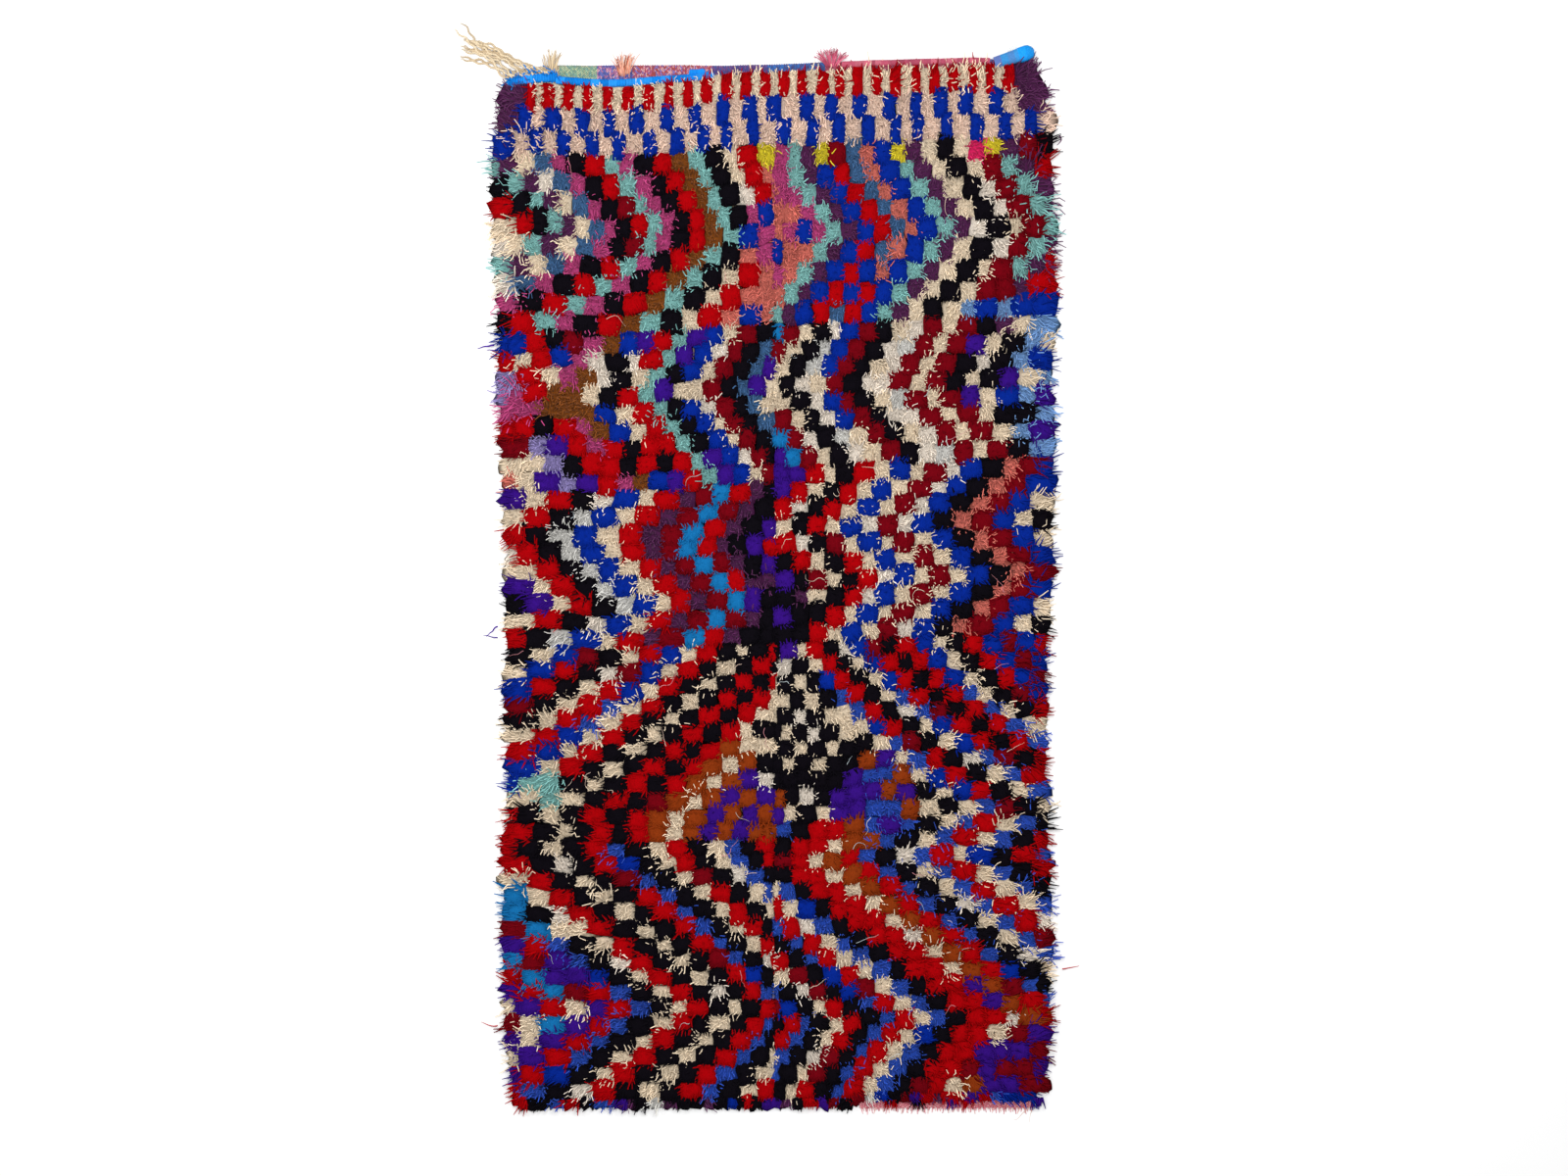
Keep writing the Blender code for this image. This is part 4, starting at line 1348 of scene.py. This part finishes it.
KNOT_FOOT = Vector((0.500, 1.2075, 8 * MM))
KNOT_TIP = Vector((0.589, 1.2345, 9.5 * MM))
KNOT_RADIUS = (12 * MM, 17 * MM)
KNOT_ROUND_FROM = 0.8
KNOT_FLAT = 0.75
KNOT_COLOURS = ("3F6FA8", "4A7FB8", "5A6EA6", "3C8CC8")
TIP_COLOURS = ("1E90DC", "2A9AE6")
TIP_FROM = 0.62
TIP_RISE = 1 * MM
WISP_FIBRES = 5
WISP_STEPS = 6
WISP_START = Vector((0.528, 1.222, 9 * MM))
WISP_END = Vector((0.534, 1.256, 1.8 * MM))
WISP_RADIUS = 0.6 * MM


def knot_core(share):
    """Radius of the bound corner along its length: it swells to its tip and rounds off."""
    return between(KNOT_RADIUS, share) * math.sqrt(max(0.05, 1 - ramp(share, KNOT_ROUND_FROM, 1) ** 2))


def tip_core(share):
    """Radius under the bright winding at the tip, over the first winding."""
    return knot_core(between((TIP_FROM, 1), share)) + TIP_RISE


def wisp_fibres():
    """A few thin fibres side by side, each a little longer than the one before."""
    fibres = []
    for k in range(WISP_FIBRES):
        points, radii = [], []
        for step in range(WISP_STEPS + 1):
            way = (WISP_END - WISP_START) * step / WISP_STEPS
            way.y *= 0.7 + 0.1 * k
            aside = 4 * MM * k + 2 * MM * math.sin(step + k)
            points.append(WISP_START + way + Vector((aside, 0, 0)))
            radii.append(WISP_RADIUS * (1 - step / 9))
        fibres.append((points, radii, "A9AFA8", UP))
    return fibres


knot_strands = wound(KNOT_FOOT, KNOT_TIP, knot_core, 1.7 * MM, 2.7 * MM, KNOT_COLOURS, KNOT_FLAT)
tip_foot = KNOT_FOOT.lerp(KNOT_TIP, TIP_FROM)
knot_strands += wound(tip_foot, KNOT_TIP, tip_core, 1.9 * MM, 3.0 * MM, TIP_COLOURS, KNOT_FLAT)
knot = yarn_object("bound_corner", knot_strands + wisp_fibres(), wool_material)
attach(knot, "root")
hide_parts("corner_knot")

# The foot band. Along the right half of the foot a narrow rose flat weave on the rug's own warp shows. The
# warp ends are cut short as a fringe, and a few wool tufts of the last row hang over it.

FRINGE_PITCH = 5 * MM
FRINGE_STEPS = 4
FRINGE_LENGTH = (6 * MM, 14 * MM)
FRINGE_OVERLAP = 3 * MM
FRINGE_HEIGHT = (3.4 * MM, 1 * MM)
FRINGE_RADIUS = 1.3 * MM
FRINGE_COLOURS = ("D98C92", "E2B0A8", "CB7480")
FOOT_COLOURS = ("D4808A", "C76A78", "DE9AA0")
FOOT_THICKNESS = 5 * MM
FOOT_TUFTS = (  # middle, letter of the yarn, number of ends
    (0.262, "R", 30),
    (0.325, "K", 20),
    (0.402, "V", 20),
    (0.437, "R", 16),
    (0.600, "V", 26),
)
FOOT_TUFT_WIDTH = 24 * MM
FOOT_TUFT_INSET = 4 * MM
FOOT_TUFT_HEIGHT = 8 * MM
FOOT_TUFT_LENGTH = 20 * MM
foot_low, foot_high = strip_lines("foot_band")


def foot_tuft_ends():
    """Wool ends of the last row of knots, lying down over the foot band."""
    ends = []
    for middle, letter, count in FOOT_TUFTS:
        tint = np.array(linear(YARNS[letter][1]))
        for k in range(count):
            x = middle + (steady(k, middle, 4) - 0.5) * FOOT_TUFT_WIDTH
            place = (x, line_at(foot_high, x) + FOOT_TUFT_INSET, FOOT_TUFT_HEIGHT)
            aim = Vector((0.5 * (steady(k, middle, 5) - 0.5), -1, 0.1)).normalized()
            ends.append((place, aim, FOOT_TUFT_LENGTH, tint))
    return ends


def fringe_strands():
    """The short cut warp ends below the band."""
    strands = []
    for k in range(round((foot_low[-1, 0] - foot_low[0, 0]) / FRINGE_PITCH)):
        x = foot_low[0, 0] + (k + 0.5) * FRINGE_PITCH
        y = line_at(foot_low, x)
        lean = 0.9 * (steady(k, 7, 2) - 0.6)
        reach = between(FRINGE_LENGTH, steady(k, 8, 2))
        points, radii = [], []
        for step in range(FRINGE_STEPS + 1):
            share = step / FRINGE_STEPS
            down = between((FRINGE_OVERLAP, -reach), share)
            points.append(Vector((x + lean * reach * share, y + down, between(FRINGE_HEIGHT, share))))
            radii.append(FRINGE_RADIUS * (1 - 0.5 * share))
        strands.append((points, radii, FRINGE_COLOURS[k % 3], UP))
    return strands


foot_core = woven_core(
    "foot_core", foot_low, foot_high, FOOT_THICKNESS - CORE_DEPTH, weave_material, "B05A66"
)
foot_wefts = grown_ends(
    "foot_wefts",
    weave_tree,
    weft_places(foot_low, foot_high, FOOT_THICKNESS, lambda x: FOOT_COLOURS),
    {"Width": 3.4 * MM, "Length": 6.0 * MM, "Height": 2.6 * MM},
)
foot_tufts = grown_ends("foot_tufts", wool_tree, foot_tuft_ends(), {**WOOL_SETTINGS, "Seed": 31})
foot_fringe = yarn_object("foot_fringe", fringe_strands(), plied_material)
for piece in (foot_core, foot_wefts, foot_fringe):
    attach(piece, "root")
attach(foot_tufts, "root")
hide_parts("foot_band")

# Loose yarns. A few knots have worked loose, and their yarns reach past the rim. Thin threads lie on top of
# the pile where its cut ends shed them.

LOOSE_YARNS = (  # first point, bearing in degrees, length, radius, colour
    ((-0.648, 0.560), 178, 0.040, 2.4 * MM, "43158A"),
    ((-0.640, 0.548), 186, 0.026, 2.0 * MM, "43158A"),
    ((-0.640, -0.085), 196, 0.036, 2.0 * MM, "43158A"),
    ((-0.640, -0.110), 182, 0.034, 1.6 * MM, "3A1480"),
    ((-0.640, -1.000), 204, 0.040, 1.6 * MM, "B01020"),
    ((0.655, -0.870), -14, 0.040, 1.6 * MM, "B01020"),
    ((0.580, -1.185), -118, 0.050, 0.8 * MM, "C9A79A"),
    ((0.592, -1.180), -100, 0.045, 0.8 * MM, "D8C4B4"),
    ((0.648, 1.040), -25, 0.026, 1.8 * MM, "5E2A58"),
)
LOOSE_START = 10 * MM
LOOSE_FALL = 1.6 * MM
THREAD_COUNT = 60
THREAD_FIELD = (1.16, 2.25)
THREAD_LENGTH = (22 * MM, 62 * MM)
THREAD_RADIUS = 0.7 * MM
THREAD_COLOURS = ("E2D2BC", "D2B8A8", "B9C4C8", "C8848C")
WANDER_STEPS = 12


def wandering(start, bearing, length, radius, colour, number, bend):
    """A thin yarn that wanders off its first bearing and thins out to its tip."""
    points, radii = [Vector(start)], [radius]
    for k in range(WANDER_STEPS):
        bearing += bend * smooth_noise(number * 5.7, k * 0.35, 1.0, 51)
        points.append(points[-1] + Vector((math.cos(bearing), math.sin(bearing), 0)) * length / WANDER_STEPS)
        radii.append(radius * (1 - 0.7 * (k + 1) / WANDER_STEPS))
    return points, radii, colour, UP


loose = []
for number, ((x, y), bearing, length, radius, colour) in enumerate(LOOSE_YARNS):
    strand = wandering((x, y, 0), math.radians(bearing), length, radius, colour, number, 0.5)
    for k, point in enumerate(strand[0]):
        point.z = max(LOOSE_START - k * LOOSE_FALL, radius)
    loose.append(strand)
for number in range(THREAD_COUNT):
    x = THREAD_FIELD[0] * (steady(number, 12, 2) - 0.5)
    y = THREAD_FIELD[1] * (steady(number, 13, 2) - 0.5)
    bearing = 6.3 * steady(number, 14, 2)
    length = between(THREAD_LENGTH, steady(number, 15, 2))
    colour = THREAD_COLOURS[number % 4]
    strand = wandering((x, y, 0), bearing, length, THREAD_RADIUS, colour, number + 50, 1.1)
    for point in strand[0]:
        point.z = pile_height(point.x, point.y) + 1 * MM
    loose.append(strand)
loose_yarns = yarn_object("loose_yarns", loose, cotton_material, sides=4)
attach(loose_yarns, "root")

# Floor, light and camera: a pale floor, large soft lights, and the camera straight over the rug.

floor_material, tree, shader = new_material("pale matt floor")
shader.inputs["Base Color"].default_value = (0.9, 0.9, 0.9, 1)
shader.inputs["Roughness"].default_value = 0.9
FLOOR_Z = -0.2 * MM
FLOOR_CORNERS = [(-6, -6, FLOOR_Z), (6, -6, FLOOR_Z), (6, 6, FLOOR_Z), (-6, 6, FLOOR_Z)]
floor = mesh_object("floor", FLOOR_CORNERS, [(0, 1, 2, 3)], floor_material)

LIGHTS = (  # name, place, size, power
    ("overhead light", (0.4, 0.8, 4.5), 3.6, 190),
    ("side light", (-3.2, 1.8, 2.6), 2.0, 70),
)
for name, place, size, power in LIGHTS:
    light = bpy.data.lights.new(name, "AREA")
    light.size = size
    light.energy = power
    lamp = add_object(name, light)
    lamp.location = place
    lamp.rotation_euler = (-Vector(place)).to_track_quat("-Z", "Y").to_euler()

world = bpy.data.worlds.new("studio")
world.use_nodes = True
world.node_tree.nodes["Background"].inputs["Color"].default_value = (1, 1, 1, 1)
world.node_tree.nodes["Background"].inputs["Strength"].default_value = 0.5
bpy.context.scene.world = world

camera_data = bpy.data.cameras.new("camera")
camera_data.lens = 70
camera = add_object("camera", camera_data)
camera.location = (0.0168, 0.0034, 7.0)
bpy.context.scene.camera = camera
bpy.context.scene.view_settings.view_transform = "Standard"
